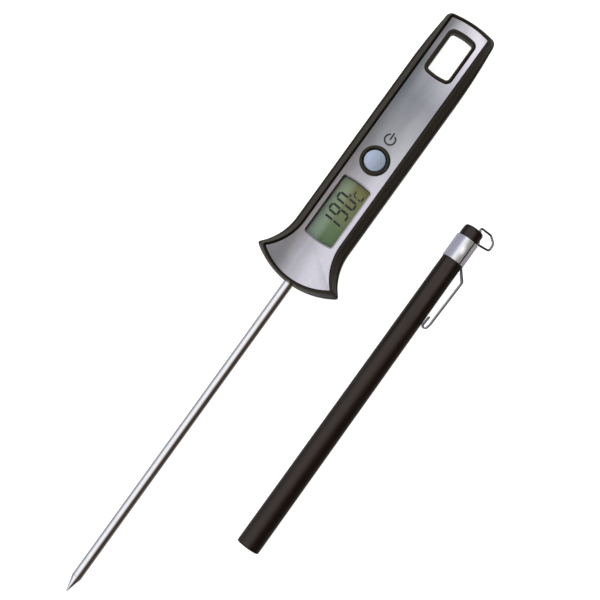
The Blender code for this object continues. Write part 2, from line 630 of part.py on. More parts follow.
def clip_arm():
    """The arm's strip. Its root is bent to the band's curve, and it flattens as it leaves the band."""
    middle = sum(BAND_RADIUS) / 2
    points = [(middle, 39.6), (middle, 37.9), (6.95, 33.9), (6.4, 16.6), (5.5, 13.2), (4.4, 15.4), (4.7, 18.9)]
    path = rounded_path(points, [0.0, 0.7, 1.5, 1.4, 0.8, 1.0, 0.0], closed=False, steps=4)
    path.insert(1, Vector((middle, 38.8)))
    mesh = bmesh.new()
    rows = []
    widths = [CLIP_WIDTH * (k / 4 - 0.5) for k in range(5)]
    for i, point in enumerate(path):
        before, after = path[max(i - 1, 0)], path[min(i + 1, len(path) - 1)]
        along = (after - before).normalized()
        normal = Vector((-along.y, along.x))
        curve = max(0.0, min(1.0, (point.y - 35.5) / 2.0))
        thick = CLIP_THICK - 0.18 * curve
        row = []
        for sign in (-0.5, 0.5):
            for width in widths if sign < 0 else widths[::-1]:
                sag = curve * (middle - math.sqrt(middle**2 - width**2))
                spot = point + normal * sign * thick
                row.append(mesh.verts.new((SHEATH_X + spot.x - sag, spot.y, SHEATH_Z + width)))
        rows.append(row)
    for low, high in zip(rows, rows[1:]):
        for k in range(len(low)):
            m = (k + 1) % len(low)
            mesh.faces.new([low[k], low[m], high[m], high[k]])
    mesh.faces.new(rows[0])
    mesh.faces.new(rows[-1])
    turn_about_sheath(mesh, ARM_TURN_DEG)
    return mesh


def turn_about_sheath(mesh, degrees):
    """Turns a mesh about the sheath's axis, upwards from its +X side."""
    turn = math.radians(degrees)
    for vertex in mesh.verts:
        x, z = vertex.co.x - SHEATH_X, vertex.co.z - SHEATH_Z
        vertex.co.x = SHEATH_X + x * math.cos(turn) - z * math.sin(turn)
        vertex.co.z = SHEATH_Z + x * math.sin(turn) + z * math.cos(turn)


def sheath_ring():
    """A closed wire ring with one straight side, which turns in the slanting hole. It hangs down to the surface."""
    corners = [(-0.05, 0.0), (5.85, 0.0), (6.95, 5.0), (4.3, 6.6), (1.6, 4.9)]
    shape = rounded_path(corners, [0.6, 0.45, 1.3, 1.8, 1.6], closed=True)
    reach = max(point.y for point in shape)
    droop = math.asin((SHEATH_Z - WIRE_RADIUS - FLOOR_GAP) / reach)
    start, direction = eye_line()
    origin = start - direction * 1.35
    level = Vector((-direction.y, direction.x, 0.0))
    outward = level * math.cos(droop) - Vector((0.0, 0.0, math.sin(droop)))
    path = [origin + direction * point.x + outward * point.y for point in shape]
    mesh = swept(path, WIRE_RADIUS, direction.cross(outward), 10)
    return add_piece("sheath_ring", mesh, CHROME, tuple(start))


def main():
    clear_scene()
    front_housing()
    rear_housing()
    faceplate()
    display()
    electronics()
    battery()
    screws()
    probe()
    tube = sheath_tube()
    attach(sheath_clip(), tube)
    attach(sheath_ring(), tube)


main()
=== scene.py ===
"""The looks of a digital probe thermometer and its pocket sheath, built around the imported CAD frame.

Lengths are millimetres in the row frame, and add_piece turns them into metres. X is across the handle, Y runs
along it from the probe to the hanging hole, and Z is up from the surface that everything lies on.
"""

import json
import math

import bmesh
import bpy
from mathutils import Matrix, Vector

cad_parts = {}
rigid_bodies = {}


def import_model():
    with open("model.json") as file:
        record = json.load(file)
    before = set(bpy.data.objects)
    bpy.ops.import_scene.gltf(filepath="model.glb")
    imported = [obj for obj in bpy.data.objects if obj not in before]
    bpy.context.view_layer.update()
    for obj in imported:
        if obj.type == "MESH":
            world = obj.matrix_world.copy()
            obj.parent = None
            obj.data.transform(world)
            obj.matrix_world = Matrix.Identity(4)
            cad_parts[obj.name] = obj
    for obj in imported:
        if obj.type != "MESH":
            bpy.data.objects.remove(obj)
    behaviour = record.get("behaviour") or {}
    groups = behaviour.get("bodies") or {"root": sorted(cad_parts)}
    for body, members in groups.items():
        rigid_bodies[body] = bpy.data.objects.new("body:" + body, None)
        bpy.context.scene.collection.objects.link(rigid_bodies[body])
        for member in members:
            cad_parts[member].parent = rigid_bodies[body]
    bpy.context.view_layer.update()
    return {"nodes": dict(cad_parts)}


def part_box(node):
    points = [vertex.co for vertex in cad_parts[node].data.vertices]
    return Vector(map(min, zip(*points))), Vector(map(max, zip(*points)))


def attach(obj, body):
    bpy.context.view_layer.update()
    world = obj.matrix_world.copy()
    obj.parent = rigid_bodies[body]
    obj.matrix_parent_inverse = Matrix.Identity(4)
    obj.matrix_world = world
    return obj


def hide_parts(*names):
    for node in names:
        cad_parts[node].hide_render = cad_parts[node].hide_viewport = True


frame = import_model()

MM = 0.001


def extent(node):
    """The lowest and highest corners of a CAD node, in millimetres."""
    low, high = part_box(node)
    return low / MM, high / MM


# ---- sizes, from the frame where it gives them ----

REAR_LOW, REAR_HIGH = extent("rear_housing")
FRONT_LOW, FRONT_HIGH = extent("front_housing")
PLATE_LOW, PLATE_HIGH = extent("faceplate")
LENS_LOW, LENS_HIGH = extent("display_lens")
LCD_LOW, LCD_HIGH = extent("lcd_panel")
CAP_LOW, CAP_HIGH = extent("power_button")
BEZEL_LOW, BEZEL_HIGH = extent("button_bezel")
COVER_LOW, COVER_HIGH = extent("battery_cover")
TUBE_LOW, TUBE_HIGH = extent("probe_tube")
TIP_LOW, TIP_HIGH = extent("probe_tip")
SHEATH_LOW, SHEATH_HIGH = extent("sheath_tube")

BASE_Y = REAR_LOW.y + 0.32  # where the probe leaves the handle; the lower edge bows out below it
SEAM_Z = (REAR_HIGH.z + FRONT_LOW.z) / 2
CREST_Z = FRONT_HIGH.z
WALL = 1.5
CEILING_Z = 10.2  # the front shell's inner face
BED_Z = PLATE_LOW.z - 0.3  # the floor of the faceplate's recess
BACK_FLAT_END = BASE_Y + 82.0
BACK_RISE = 4.2

SHELL = {
    "width": 10.7,
    "end_width": 9.7,
    "corner": (16.66, BASE_Y + 5.2),
    "base": REAR_LOW.y,
    "end": REAR_HIGH.y,
    "round": 2.4,
    "blunt": 0.9,
}
PLATE = {
    "width": 7.25,
    "end_width": 7.25,
    "corner": (13.19, BASE_Y + 5.4),
    "base": PLATE_LOW.y,
    "end": PLATE_HIGH.y,
    "round": 0.5,
    "blunt": 0.2,
}
FLARE_RADIUS = 20.0  # of the hollow sides above the probe
END_BOW = 0.7
TAPER_START, TAPER_LENGTH = BASE_Y + 84.0, 20.0  # where the sides draw in towards the top end
CORNER_PULL = (1.556, -0.18)  # how far the flare's corner moves for each millimetre of growth
PLATE_GAP = 0.12
RIM = 0.95  # the shell's rim round the faceplate

DISPLAY_Y = (LENS_LOW.y + LENS_HIGH.y) / 2
WINDOW_HALF = (5.3, 11.45)
BUTTON_Y = (CAP_LOW.y + CAP_HIGH.y) / 2
CAP_RADIUS = 3.63
BEZEL_BORE, BEZEL_NECK, BEZEL_RADIUS = 3.9, 4.7, BEZEL_HIGH.x
BATTERY_Y = (COVER_LOW.y + COVER_HIGH.y) / 2
HOLE_Y = BASE_Y + 92.8
HOLE_HALF = (4.2, 7.6)
HOLE_RIM = 1.05
SCREW_NODES = [f"housing_screw_{number}" for number in range(1, 5)]

PROBE_RADIUS = TUBE_HIGH.x
PROBE_Z = (TUBE_LOW.z + TUBE_HIGH.z) / 2

SHEATH_RADIUS = (SHEATH_HIGH.x - SHEATH_LOW.x) / 2
SHEATH_X, SHEATH_Z = SHEATH_LOW.x + SHEATH_RADIUS, SHEATH_RADIUS
MOUTH_Y, CLOSED_Y = SHEATH_LOW.y, SHEATH_HIGH.y
BAND_Y = (BASE_Y + 38.1, BASE_Y + 46.9)
BAND_RADIUS = (3.88, 4.14)
SLIT_HALF, SLIT_TURN_DEG = 0.42, 50.0
ARM_TURN_DEG = -10.0  # the sheath has rolled a little towards its arm
ARM_WIDTH, ARM_THICKNESS = 3.4, 0.4
WIRE_RADIUS, EYE_RADIUS = 0.395, 0.6  # the ring's wire and the hole that it turns in


# ---- mesh helpers ----


def smooth(obj, sharp_deg=30.0):
    """Smooth shading, except over edges that turn by more than this."""
    obj.data.shade_smooth()
    obj.data.set_sharp_from_angle(angle=math.radians(sharp_deg))


def add_piece(name, mesh, material=None, sharp_deg=35.0):
    """A new object from a mesh in millimetres."""
    for vertex in mesh.verts:
        vertex.co *= MM
    bmesh.ops.recalc_face_normals(mesh, faces=mesh.faces)
    data = bpy.data.meshes.new(name)
    mesh.to_mesh(data)
    mesh.free()
    obj = bpy.data.objects.new(name, data)
    bpy.context.scene.collection.objects.link(obj)
    smooth(obj, sharp_deg)
    if material:
        data.materials.append(material)
    return obj


def show(obj, body, slot, *nodes):
    """obj rides on this body and stands for these CAD nodes; slot is not used."""
    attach(obj, body)
    if nodes:
        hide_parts(*nodes)


def combine(target, operation, meshes):
    """One exact Boolean with all the meshes at once."""
    group = bpy.data.collections.new(f"{target.name}_{operation}")
    for number, mesh in enumerate(meshes, 1):
        group.objects.link(add_piece(f"{target.name}_{operation}_{number}", mesh))
    modifier = target.modifiers.new(operation, "BOOLEAN")
    modifier.operation = operation
    modifier.operand_type = "COLLECTION"
    modifier.collection = group
    graph = bpy.context.evaluated_depsgraph_get()
    made = bpy.data.meshes.new_from_object(target.evaluated_get(graph))
    target.modifiers.clear()
    old, target.data = target.data, made
    bpy.data.meshes.remove(old)
    for helper in list(group.objects):
        bpy.data.objects.remove(helper)
    bpy.data.collections.remove(group)


def cut(target, *meshes):
    combine(target, "DIFFERENCE", meshes)


def join(target, *meshes):
    combine(target, "UNION", meshes)


def box(x, y, z):
    """Each of x, y and z is a (low, high) pair."""
    mesh = bmesh.new()
    bmesh.ops.create_cube(mesh, size=1.0)
    for vertex in mesh.verts:
        vertex.co = [low + (c + 0.5) * (high - low) for c, (low, high) in zip(vertex.co, (x, y, z))]
    return mesh


def full_turn(count):
    """The angles of this many equal steps round a circle."""
    return [2 * math.pi * k / count for k in range(count)]


def bridge(mesh, low, high):
    """Faces between two closed rows of vertices. A row may be one vertex, repeated."""
    for i in range(len(low)):
        j = (i + 1) % len(low)
        mesh.faces.new(list(dict.fromkeys([low[i], low[j], high[j], high[i]])))


def turned(profile, axis="Z", centre=(0.0, 0.0), segments=96, ring=False):
    """A solid of revolution. profile holds (radius, height) points from axis to axis, or a closed ring of them.
    centre is where the axis stands: (x, y) for a Z axis and (x, z) for a Y axis."""
    mesh = bmesh.new()

    def place(radius, height, turn):
        across, along = radius * math.cos(turn), radius * math.sin(turn)
        if axis == "Z":
            return centre[0] + across, centre[1] + along, height
        return centre[0] + across, height, centre[1] + along

    rows = []
    for radius, height in profile:
        if radius == 0.0:
            rows.append([mesh.verts.new(place(0.0, height, 0.0))] * segments)
        else:
            rows.append([mesh.verts.new(place(radius, height, turn)) for turn in full_turn(segments)])
    for low, high in zip(rows, rows[1:]):
        bridge(mesh, low, high)
    if ring:
        bridge(mesh, rows[-1], rows[0])
    return mesh


def pillar(radius, low, high):
    """A plain cylinder's profile."""
    return (0.0, low), (radius, low), (radius, high), (0.0, high)


def rod(radius, low, high, axis="Z", centre=(0.0, 0.0), segments=64):
    return turned(pillar(radius, low, high), axis, centre, segments)


def rounded(profile, radius, steps=4):
    """The profile with each of its corners rounded, except those on the axis and both ends."""
    made = [profile[0]]
    for before, here, after in zip(profile, profile[1:], profile[2:]):
        point = Vector(here)
        back, ahead = Vector(before) - point, Vector(after) - point
        reach = min(radius, back.length * 0.45, ahead.length * 0.45)
        start, end = point + back.normalized() * reach, point + ahead.normalized() * reach
        for k in range(steps + 1):
            t = k / steps
            spot = (1 - t) ** 2 * start + 2 * t * (1 - t) * point + t**2 * end
            made.append((spot.x, spot.y))
    made.append(profile[-1])
    return made


def back_lift(y):
    """The back is flat up to BACK_FLAT_END and then climbs to the handle's top end."""
    return BACK_RISE * max(0.0, y - BACK_FLAT_END) / (REAR_HIGH.y - BACK_FLAT_END)


def mirrored(half):
    """The closed outline whose right half this is."""
    return list(half) + [(-x, y) for x, y in half[-2:0:-1]]


def lofted(levels, lifted=False):
    """A solid between outlines that are mirror images about x = 0. Each level is (half outline, z), and a half
    outline runs up the right side from the bottom centre to the top centre."""
    mesh = bmesh.new()
    rings = []
    for half, z in levels:
        fade = max(0.0, 1.0 - z / REAR_HIGH.z) if lifted else 0.0
        rings.append([mesh.verts.new((x, y, z + fade * back_lift(y))) for x, y in mirrored(half)])
    for low, high in zip(rings, rings[1:]):
        bridge(mesh, low, high)
    ends = (rings[0], rings[-1])
    half_count = len(rings[0]) // 2
    tilted = [ring for ring in ends if abs(ring[0].co.z - ring[half_count].co.z) > 0.001]
    for ring in tilted:
        for i in range(half_count):
            mesh.faces.new(list(dict.fromkeys([ring[i], ring[i + 1], ring[-i - 1], ring[-i]])))
    bmesh.ops.triangulate(mesh, faces=mesh.faces)
    for ring in ends:
        if ring not in tilted:
            mesh.faces.new(ring)
    return mesh


def prism(points, low, high):
    """A flat shape of these points, from one height to another."""
    mesh = bmesh.new()
    bottom = [mesh.verts.new((x, y, low)) for x, y in points]
    top = [mesh.verts.new((x, y, high)) for x, y in points]
    mesh.faces.new(bottom)
    mesh.faces.new(top)
    bridge(mesh, bottom, top)
    return mesh


def merged(meshes):
    """Several closed meshes as one."""
    whole = bmesh.new()
    for mesh in meshes:
        data = bpy.data.meshes.new("part")
        mesh.to_mesh(data)
        mesh.free()
        whole.from_mesh(data)
        bpy.data.meshes.remove(data)
    return whole


def swept(path, radius, normal):
    """A closed round wire along a flat path, whose plane has this normal."""
    mesh = bmesh.new()
    rings = []
    for i, point in enumerate(path):
        side = (path[(i + 1) % len(path)] - path[i - 1]).normalized().cross(normal)
        spokes = [math.cos(a) * side + math.sin(a) * normal for a in full_turn(24)]
        rings.append([mesh.verts.new(point + radius * spoke) for spoke in spokes])
    for low, high in zip(rings, rings[1:] + rings[:1]):
        bridge(mesh, low, high)
    return mesh


# ---- outlines ----


def arc(centre, radius, start_deg, end_deg, steps):
    """Points along a circle, from one angle to another."""
    turns = [math.radians(start_deg + (end_deg - start_deg) * i / steps) for i in range(steps + 1)]
    return [(centre[0] + radius * math.cos(a), centre[1] + radius * math.sin(a)) for a in turns]


def handle_outline(shape, grow=0.0):
    """Half of the handle's outline, moved outwards by grow: a bowed lower edge, a blunt corner, a hollow flare,
    a side and a bowed end."""
    width, end_width = shape["width"] + grow, shape["end_width"] + grow
    base_y, end_y = shape["base"] - grow, shape["end"] + grow
    end_round, blunt = max(0.4, shape["round"] + grow), max(0.15, shape["blunt"] + grow)
    corner_x = shape["corner"][0] + CORNER_PULL[0] * grow - blunt / 2
    corner_y = shape["corner"][1] + CORNER_PULL[1] * grow
    flare_radius = FLARE_RADIUS - grow
    height = corner_y - blunt / 2 - base_y
    bow = (corner_x**2 + height**2) / (2 * height)
    reach = math.degrees(math.asin(corner_x / bow))
    flare_y = corner_y + blunt / 2
    lower = arc((0.0, base_y + bow), bow, -90.0, -90.0 + reach - 1.2, 28)
    corner = corner_turn((corner_x, corner_y - blunt / 2), (corner_x, flare_y), blunt, reach)
    waist_y = flare_y + math.sqrt(flare_radius**2 - (flare_radius - corner_x + width) ** 2)
    sweep = math.degrees(math.asin((waist_y - flare_y) / flare_radius))
    flare = arc((width + flare_radius, waist_y), flare_radius, 180.0 + sweep - 1.5, 180.0, 28)
    shoulder = end_y - END_BOW
    side = [(width, BASE_Y + 40.0), (width, BASE_Y + 60.0), (width, BACK_FLAT_END)]
    lean = width - end_width
    side += [(width - lean * k**2, TAPER_START + TAPER_LENGTH * k) for k in (0.15, 0.3, 0.45, 0.6, 0.75, 0.9)]
    corner_arc = arc((end_width - end_round, shoulder - end_round), end_round, 0.0, 80.0, 10)
    flat = end_width - end_round
    end = [(flat * k, end_y - END_BOW * k**2) for k in (0.9, 0.75, 0.6, 0.45, 0.3, 0.15, 0.0)]
    return lower + corner + flare + side + corner_arc + end


def corner_turn(first, last, blunt, reach):
    """The rounded tip of the flare, between the lower edge and the hollow side."""
    tip = (first[0] + 0.35 * blunt * math.sin(math.radians(reach)), (first[1] + last[1]) / 2)
    points = []
    for k in (0.2, 0.4, 0.6, 0.8):
        x = (1 - k) ** 2 * first[0] + 2 * k * (1 - k) * tip[0] + k**2 * last[0]
        y = (1 - k) ** 2 * first[1] + 2 * k * (1 - k) * tip[1] + k**2 * last[1]
        points.append((x, y))
    return points


def expanded(half, distance):
    """The half outline moved outwards by distance."""
    loop = mirrored(half)
    moved = []
    for i in range(len(half)):
        before, here, after = (Vector(loop[k % len(loop)]) for k in (i - 1, i, i + 1))
        first, second = (here - before).normalized(), (after - here).normalized()
        normals = Vector((first.y, -first.x)), Vector((second.y, -second.x))
        middle = (normals[0] + normals[1]).normalized()
        moved.append(here + middle * distance / max(0.5, middle.dot(normals[0])))
    moved[0].x = moved[-1].x = 0.0
    return [(point.x, point.y) for point in moved]


def mixed(first, second, share):
    """The outline that lies this share of the way from the first to the second."""
    return [(a[0] + (b[0] - a[0]) * share, a[1] + (b[1] - a[1]) * share) for a, b in zip(first, second)]


def slot_half(half_size, centre_y, corner_radius, bow):
    """Half of a rounded rectangle whose short ends bow outwards."""
    width, length = half_size
    flat = width - corner_radius
    low = [(flat * k, centre_y - length - bow * (1.0 - k**2)) for k in (0.0, 0.2, 0.4, 0.6, 0.8)]
    lower = arc((flat, centre_y - length + corner_radius), corner_radius, -90.0, 0.0, 10)
    upper = arc((flat, centre_y + length - corner_radius), corner_radius, 0.0, 90.0, 10)
    high = [(flat * k, centre_y + length + bow * (1.0 - k**2)) for k in (0.8, 0.6, 0.4, 0.2, 0.0)]
    return low + lower + upper + high


HOLE = slot_half(HOLE_HALF, HOLE_Y, 1.2, 0.25)


def levels_of(shape, *steps):
    """Levels for lofted: the shape's outline, moved outwards by grow at height z, for each (grow, z)."""
    return [(handle_outline(shape, grow), z) for grow, z in steps]


def hole_levels(*steps):
    """The same with the hanging hole's outline."""
    return [(expanded(HOLE, grow), z) for grow, z in steps]


def window(grow):
    """Half of the display opening's outline, moved outwards by grow."""
    half_size = (WINDOW_HALF[0] + grow, WINDOW_HALF[1] + grow)
    return slot_half(half_size, DISPLAY_Y, 0.8 + max(0.0, grow), 0.35)


# ---- node helpers ----


USUAL = (0.3, 0.7)  # nearly all of a noise's values lie between these


class Nodes:
    """A node tree and short ways to add to it. A colour is three numbers or one, for a grey."""

    def __init__(self, tree, coordinates):
        self.tree = tree
        self.coords = tree.nodes.new("ShaderNodeTexCoord").outputs[coordinates]

    def node(self, kind, **settings):
        made = self.tree.nodes.new(kind)
        for key, value in settings.items():
            setattr(made, key, value)
        return made

    def link(self, source, target):
        self.tree.links.new(source, target)

    def put(self, value, socket):
        """Gives a socket another one's output, a number or a colour's four numbers."""
        if isinstance(value, bpy.types.NodeSocket):
            self.link(value, socket)
        else:
            socket.default_value = value

    def compute(self, operation, *values, clamp=False):
        """The result of a Math node on sockets and numbers."""
        made = self.node("ShaderNodeMath", operation=operation, use_clamp=clamp)
        for value, socket in zip(values, made.inputs):
            self.put(value, socket)
        return made.outputs["Value"]

    def part(self, name):
        """One of the coordinates, as the tree gives them."""
        split = self.node("ShaderNodeSeparateXYZ")
        self.link(self.coords, split.inputs["Vector"])
        return split.outputs[name]

    def spread(self, source, low, high, from_low=USUAL[0], from_high=USUAL[1]):
        """source, whose useful values run from from_low to from_high, as numbers from low to high."""
        scale = self.node("ShaderNodeMapRange")
        for key, value in (("Value", source), ("From Min", from_low), ("From Max", from_high),
                           ("To Min", low), ("To Max", high)):
            self.put(value, scale.inputs[key])
        return scale.outputs["Result"]

    def ramp(self, source, stops, smooth_steps=False):
        """A colour ramp through (position, colour) stops."""
        ramp = self.node("ShaderNodeValToRGB")
        ramp.color_ramp.interpolation = "EASE" if smooth_steps else "LINEAR"
        elements = ramp.color_ramp.elements
        while len(elements) < len(stops):
            elements.new(0.5)
        for element, (position, color) in zip(elements, stops):
            element.position = position
            element.color = rgba(color)
        self.link(source, ramp.inputs["Fac"])
        return ramp.outputs["Color"]

    def mix(self, share, first, second, blend="MIX"):
        """Two colours, each a socket or numbers, mixed by a socket or a number."""
        mixer = self.node("ShaderNodeMix", data_type="RGBA", blend_type=blend)
        sockets = {socket.identifier: socket for socket in mixer.inputs}
        self.put(share, sockets["Factor_Float"])
        for name, color in (("A_Color", first), ("B_Color", second)):
            self.put(color if isinstance(color, bpy.types.NodeSocket) else rgba(color), sockets[name])
        return next(s for s in mixer.outputs if s.identifier == "Result_Color")


def rgba(color):
    """A colour's four numbers, from three or from one grey value."""
    return (*color, 1.0) if isinstance(color, tuple) else (color, color, color, 1.0)


class Look(Nodes):
    """A material under construction: its node tree and its Principled shader."""

    def __init__(self, name, metallic=0.0, specular=0.5):
        self.material = bpy.data.materials.new(name)
        self.material.use_nodes = True
        super().__init__(self.material.node_tree, "Object")
        self.shader = self.tree.nodes["Principled BSDF"]
        self.put(metallic, self.shader.inputs["Metallic"])
        self.put(specular, self.shader.inputs["Specular IOR Level"])

    def feed(self, **sources):
        """Gives the shader's sockets their sources. A _ in a key stands for a space."""
        for key, source in sources.items():
            self.put(source, self.shader.inputs[key.replace("_", " ")])

    def noise(self, size_mm, detail=3.0, stretch=(1.0, 1.0, 1.0)):
        """Noise with features of about this size, drawn out by stretch."""
        mapping = self.node("ShaderNodeMapping")
        mapping.inputs["Scale"].default_value = [1.0 / (size_mm * MM * s) for s in stretch]
        self.link(self.coords, mapping.inputs["Vector"])
        texture = self.node("ShaderNodeTexNoise")
        for key, source in (("Vector", mapping.outputs["Vector"]), ("Scale", 1.0), ("Detail", detail),
                            ("Roughness", 0.55)):
            self.put(source, texture.inputs[key])
        return texture.outputs[0]

    def mottled(self, noise, dark, light):
        """Two colours, as the noise has it."""
        return self.ramp(noise, [(USUAL[0], dark), (USUAL[1], light)])

    def along(self, name, low_mm, high_mm):
        """The object's X, Y or Z as numbers from 0 to 1, between these two places."""
        return self.spread(self.compute("MULTIPLY", self.part(name), 1.0 / MM), 0.0, 1.0, low_mm, high_mm)

    def bump(self, height, strength, depth_mm):
        """Fine relief on the shader's normal."""
        bump = self.node("ShaderNodeBump")
        self.put(strength, bump.inputs["Strength"])
        self.put(depth_mm * MM, bump.inputs["Distance"])
        self.link(height, bump.inputs["Height"])
        self.feed(Normal=bump.outputs["Normal"])


# ---- materials ----


def moulded(name, dark, light, gloss=(0.30, 0.42), specular=0.42, grain=0.12, tint=(1.0, 0.91, 0.62)):
    """Injection-moulded plastic: slightly uneven colour and gloss and a fine grain."""
    look = Look(name, specular=specular)
    look.feed(
        Base_Color=look.mottled(look.noise(6.0, 5.0), dark, light),
        Roughness=look.spread(look.noise(2.5, 4.0), *gloss),
        Specular_Tint=rgba(tint),
    )
    look.bump(look.noise(0.35, 2.0), grain, 0.02)
    return look.material


def cap_plastic():
    """Pale blue-grey moulding with painted shading: a little lighter on the side that faces the light."""
    look = Look("cap_plastic", specular=0.42)
    # painted shading: lighter towards -X, darker towards +X
    shade = look.ramp(look.along("X", -CAP_RADIUS, CAP_RADIUS), [
        (0.0, (0.58, 0.67, 0.88)), (0.5, (0.50, 0.60, 0.77)), (1.0, (0.36, 0.44, 0.56)),
    ])
    mottle = look.mottled(look.noise(1.2, 4.0), 0.96, 1.03)
    look.feed(
        Base_Color=look.mix(1.0, shade, mottle, "MULTIPLY"),
        Roughness=look.spread(look.noise(2.5, 4.0), 0.35, 0.45),
    )
    look.bump(look.noise(0.35, 2.0), 0.08, 0.02)
    return look.material


def polished(name, dark, light, gloss, streak=(1.0, 40.0, 1.0)):
    """Bright metal with faint drawing lines and smudges."""
    look = Look(name, metallic=1.0)
    look.feed(
        Base_Color=look.mottled(look.noise(3.0, 4.0), dark, light),
        Roughness=look.spread(look.noise(1.6, 5.0, streak), *gloss),
    )
    look.bump(look.noise(0.12, 2.0, streak), 0.05, 0.01)
    return look.material


def spring_steel():
    """The clip's bright strip, coloured with painted reflections and painted shade: a white painted highlight
    on the band's crest, violet grey painted reflections down its sides, and a darker arm with a pale violet
    painted reflection at its curl, a painted dark upper part and a painted shadow where it nears the band.
    """
    look = Look("clip_steel")
    across = look.along("X", SHEATH_X - BAND_RADIUS[1], SHEATH_X + BAND_RADIUS[1])
    # painted reflections across the band: violet grey at the sides, a darker stripe on the -X side, a white
    # painted highlight over the crest and grey past the slit
    band = look.ramp(across, [
        (0.0, (0.56, 0.56, 0.66)), (0.17, (0.58, 0.58, 0.72)), (0.22, (0.44, 0.44, 0.55)),
        (0.30, (0.38, 0.38, 0.48)), (0.38, (0.58, 0.58, 0.70)), (0.44, (0.96, 0.96, 1.0)), (0.84, 1.0),
        (0.86, (0.50, 0.47, 0.53)), (0.92, (0.58, 0.55, 0.62)), (1.0, (0.40, 0.38, 0.42)),
    ])
    length = look.along("Y", BASE_Y + 13.0, BASE_Y + 39.0)
    # a painted shadow on the arm where it nears the band
    painted_shadow = (0.02, 0.019, 0.018)
    # the arm's side: a pale violet painted reflection at its curl, grey along the middle, then the painted
    # shadow
    face = look.ramp(length, [
        (0.0, (0.72, 0.70, 0.86)), (0.14, (0.72, 0.70, 0.86)), (0.20, (0.58, 0.56, 0.60)),
        (0.76, (0.58, 0.56, 0.60)), (0.84, painted_shadow), (1.0, painted_shadow),
    ])
    # painted shade on the arm's upper part, darkest near the band
    edge = look.ramp(length, [
        (0.0, (0.10, 0.09, 0.11)), (0.76, (0.08, 0.075, 0.08)), (0.84, painted_shadow), (1.0, painted_shadow),
    ])
    # the arm: its side's colour below, the painted dark above
    arm = look.mix(look.along("Z", SHEATH_Z - 0.5, SHEATH_Z + 0.4), face, edge)
    base = look.mix(look.along("Y", BAND_Y[0] - 0.4, BAND_Y[0] - 0.1), arm, band)
    lines = look.noise(0.12, 3.0, (1.0, 12.0, 1.0))
    look.feed(
        Base_Color=look.mix(1.0, base, look.mottled(lines, 0.98, 1.02), "MULTIPLY"),
        Metallic=look.ramp(across, [(0.0, 0.35), (0.30, 0.35), (0.42, 0.6), (0.74, 0.65), (0.82, 0.1)]),
        Roughness=look.spread(look.noise(1.6, 4.0), 0.22, 0.28),
    )
    look.bump(lines, 0.01, 0.004)
    return look.material


def brushed_plate():
    """Fine lines along the handle, and a painted reflection: dark towards -X and bright towards +X, with
    lighter and darker painted bands along the bright side and a cloudy, wandering border between the two.
    """
    look = Look("brushed_faceplate", metallic=1.0)
    length = look.along("Y", PLATE_LOW.y, PLATE_HIGH.y)
    # the painted reflection's bright +X side, with lighter and darker painted bands along the length
    right = look.ramp(length, [
        (0.0, (0.72, 0.70, 0.78)), (0.36, (0.70, 0.67, 0.75)), (0.48, (0.60, 0.59, 0.64)),
        (0.58, (0.48, 0.48, 0.51)), (0.70, (0.35, 0.35, 0.39)), (0.80, (0.56, 0.55, 0.61)),
        (0.90, (0.82, 0.79, 0.88)), (1.0, (0.93, 0.90, 0.96)),
    ])
    # the painted reflection's dark -X side
    left = look.ramp(length, [
        (0.0, (0.20, 0.20, 0.215)), (0.20, (0.26, 0.24, 0.24)), (0.40, (0.21, 0.195, 0.20)),
        (0.55, (0.185, 0.19, 0.20)), (0.72, (0.155, 0.17, 0.19)), (0.88, (0.17, 0.175, 0.18)),
        (1.0, (0.20, 0.20, 0.215)),
    ])
    # noise that makes the border between the painted dark and bright sides wander
    painted_reflection_wobble = look.spread(look.noise(9.0, 3.0, (1.0, 2.2, 1.0)), -0.10, 0.10)
    shifted = look.compute("ADD", look.along("X", -8.0, 5.6), painted_reflection_wobble, clamp=True)
    # the painted reflection: dark towards -X, bright towards +X
    sheet = look.mix(look.ramp(shifted, [(0.0, 0.0), (0.5, 0.54), (1.0, 1.0)], True), left, right)
    lines = look.noise(0.16, 3.0, (1.0, 60.0, 1.0))
    look.feed(
        Base_Color=look.mix(1.0, sheet, look.mottled(lines, 0.90, 1.06), "MULTIPLY"),
        Roughness=look.spread(lines, 0.24, 0.36),
    )
    look.bump(lines, 0.10, 0.01)
    return look.material


def clear_window():
    """A clear moulded window: it lets light through and mirrors a little, more at a low angle."""
    look = Look("clear_window")
    look.tree.nodes.remove(look.shader)
    clear = look.node("ShaderNodeBsdfTransparent")
    look.put(rgba((0.93, 0.96, 0.94)), clear.inputs["Color"])
    gloss = look.node("ShaderNodeBsdfGlossy")
    look.put(rgba(0.45), gloss.inputs["Color"])
    look.put(look.spread(look.noise(4.0, 3.0), 0.03, 0.07), gloss.inputs["Roughness"])
    slope = look.node("ShaderNodeLayerWeight")
    look.put(0.5, slope.inputs["Blend"])
    steep = look.compute("POWER", slope.outputs["Facing"], 5.0)
    blend = look.node("ShaderNodeMixShader")
    sources = (look.spread(steep, 0.035, 1.0, 0.0, 1.0), clear.outputs["BSDF"], gloss.outputs["BSDF"])
    for source, socket in zip(sources, blend.inputs):
        look.link(source, socket)
    look.link(blend.outputs["Shader"], look.tree.nodes["Material Output"].inputs["Surface"])
    return look.material


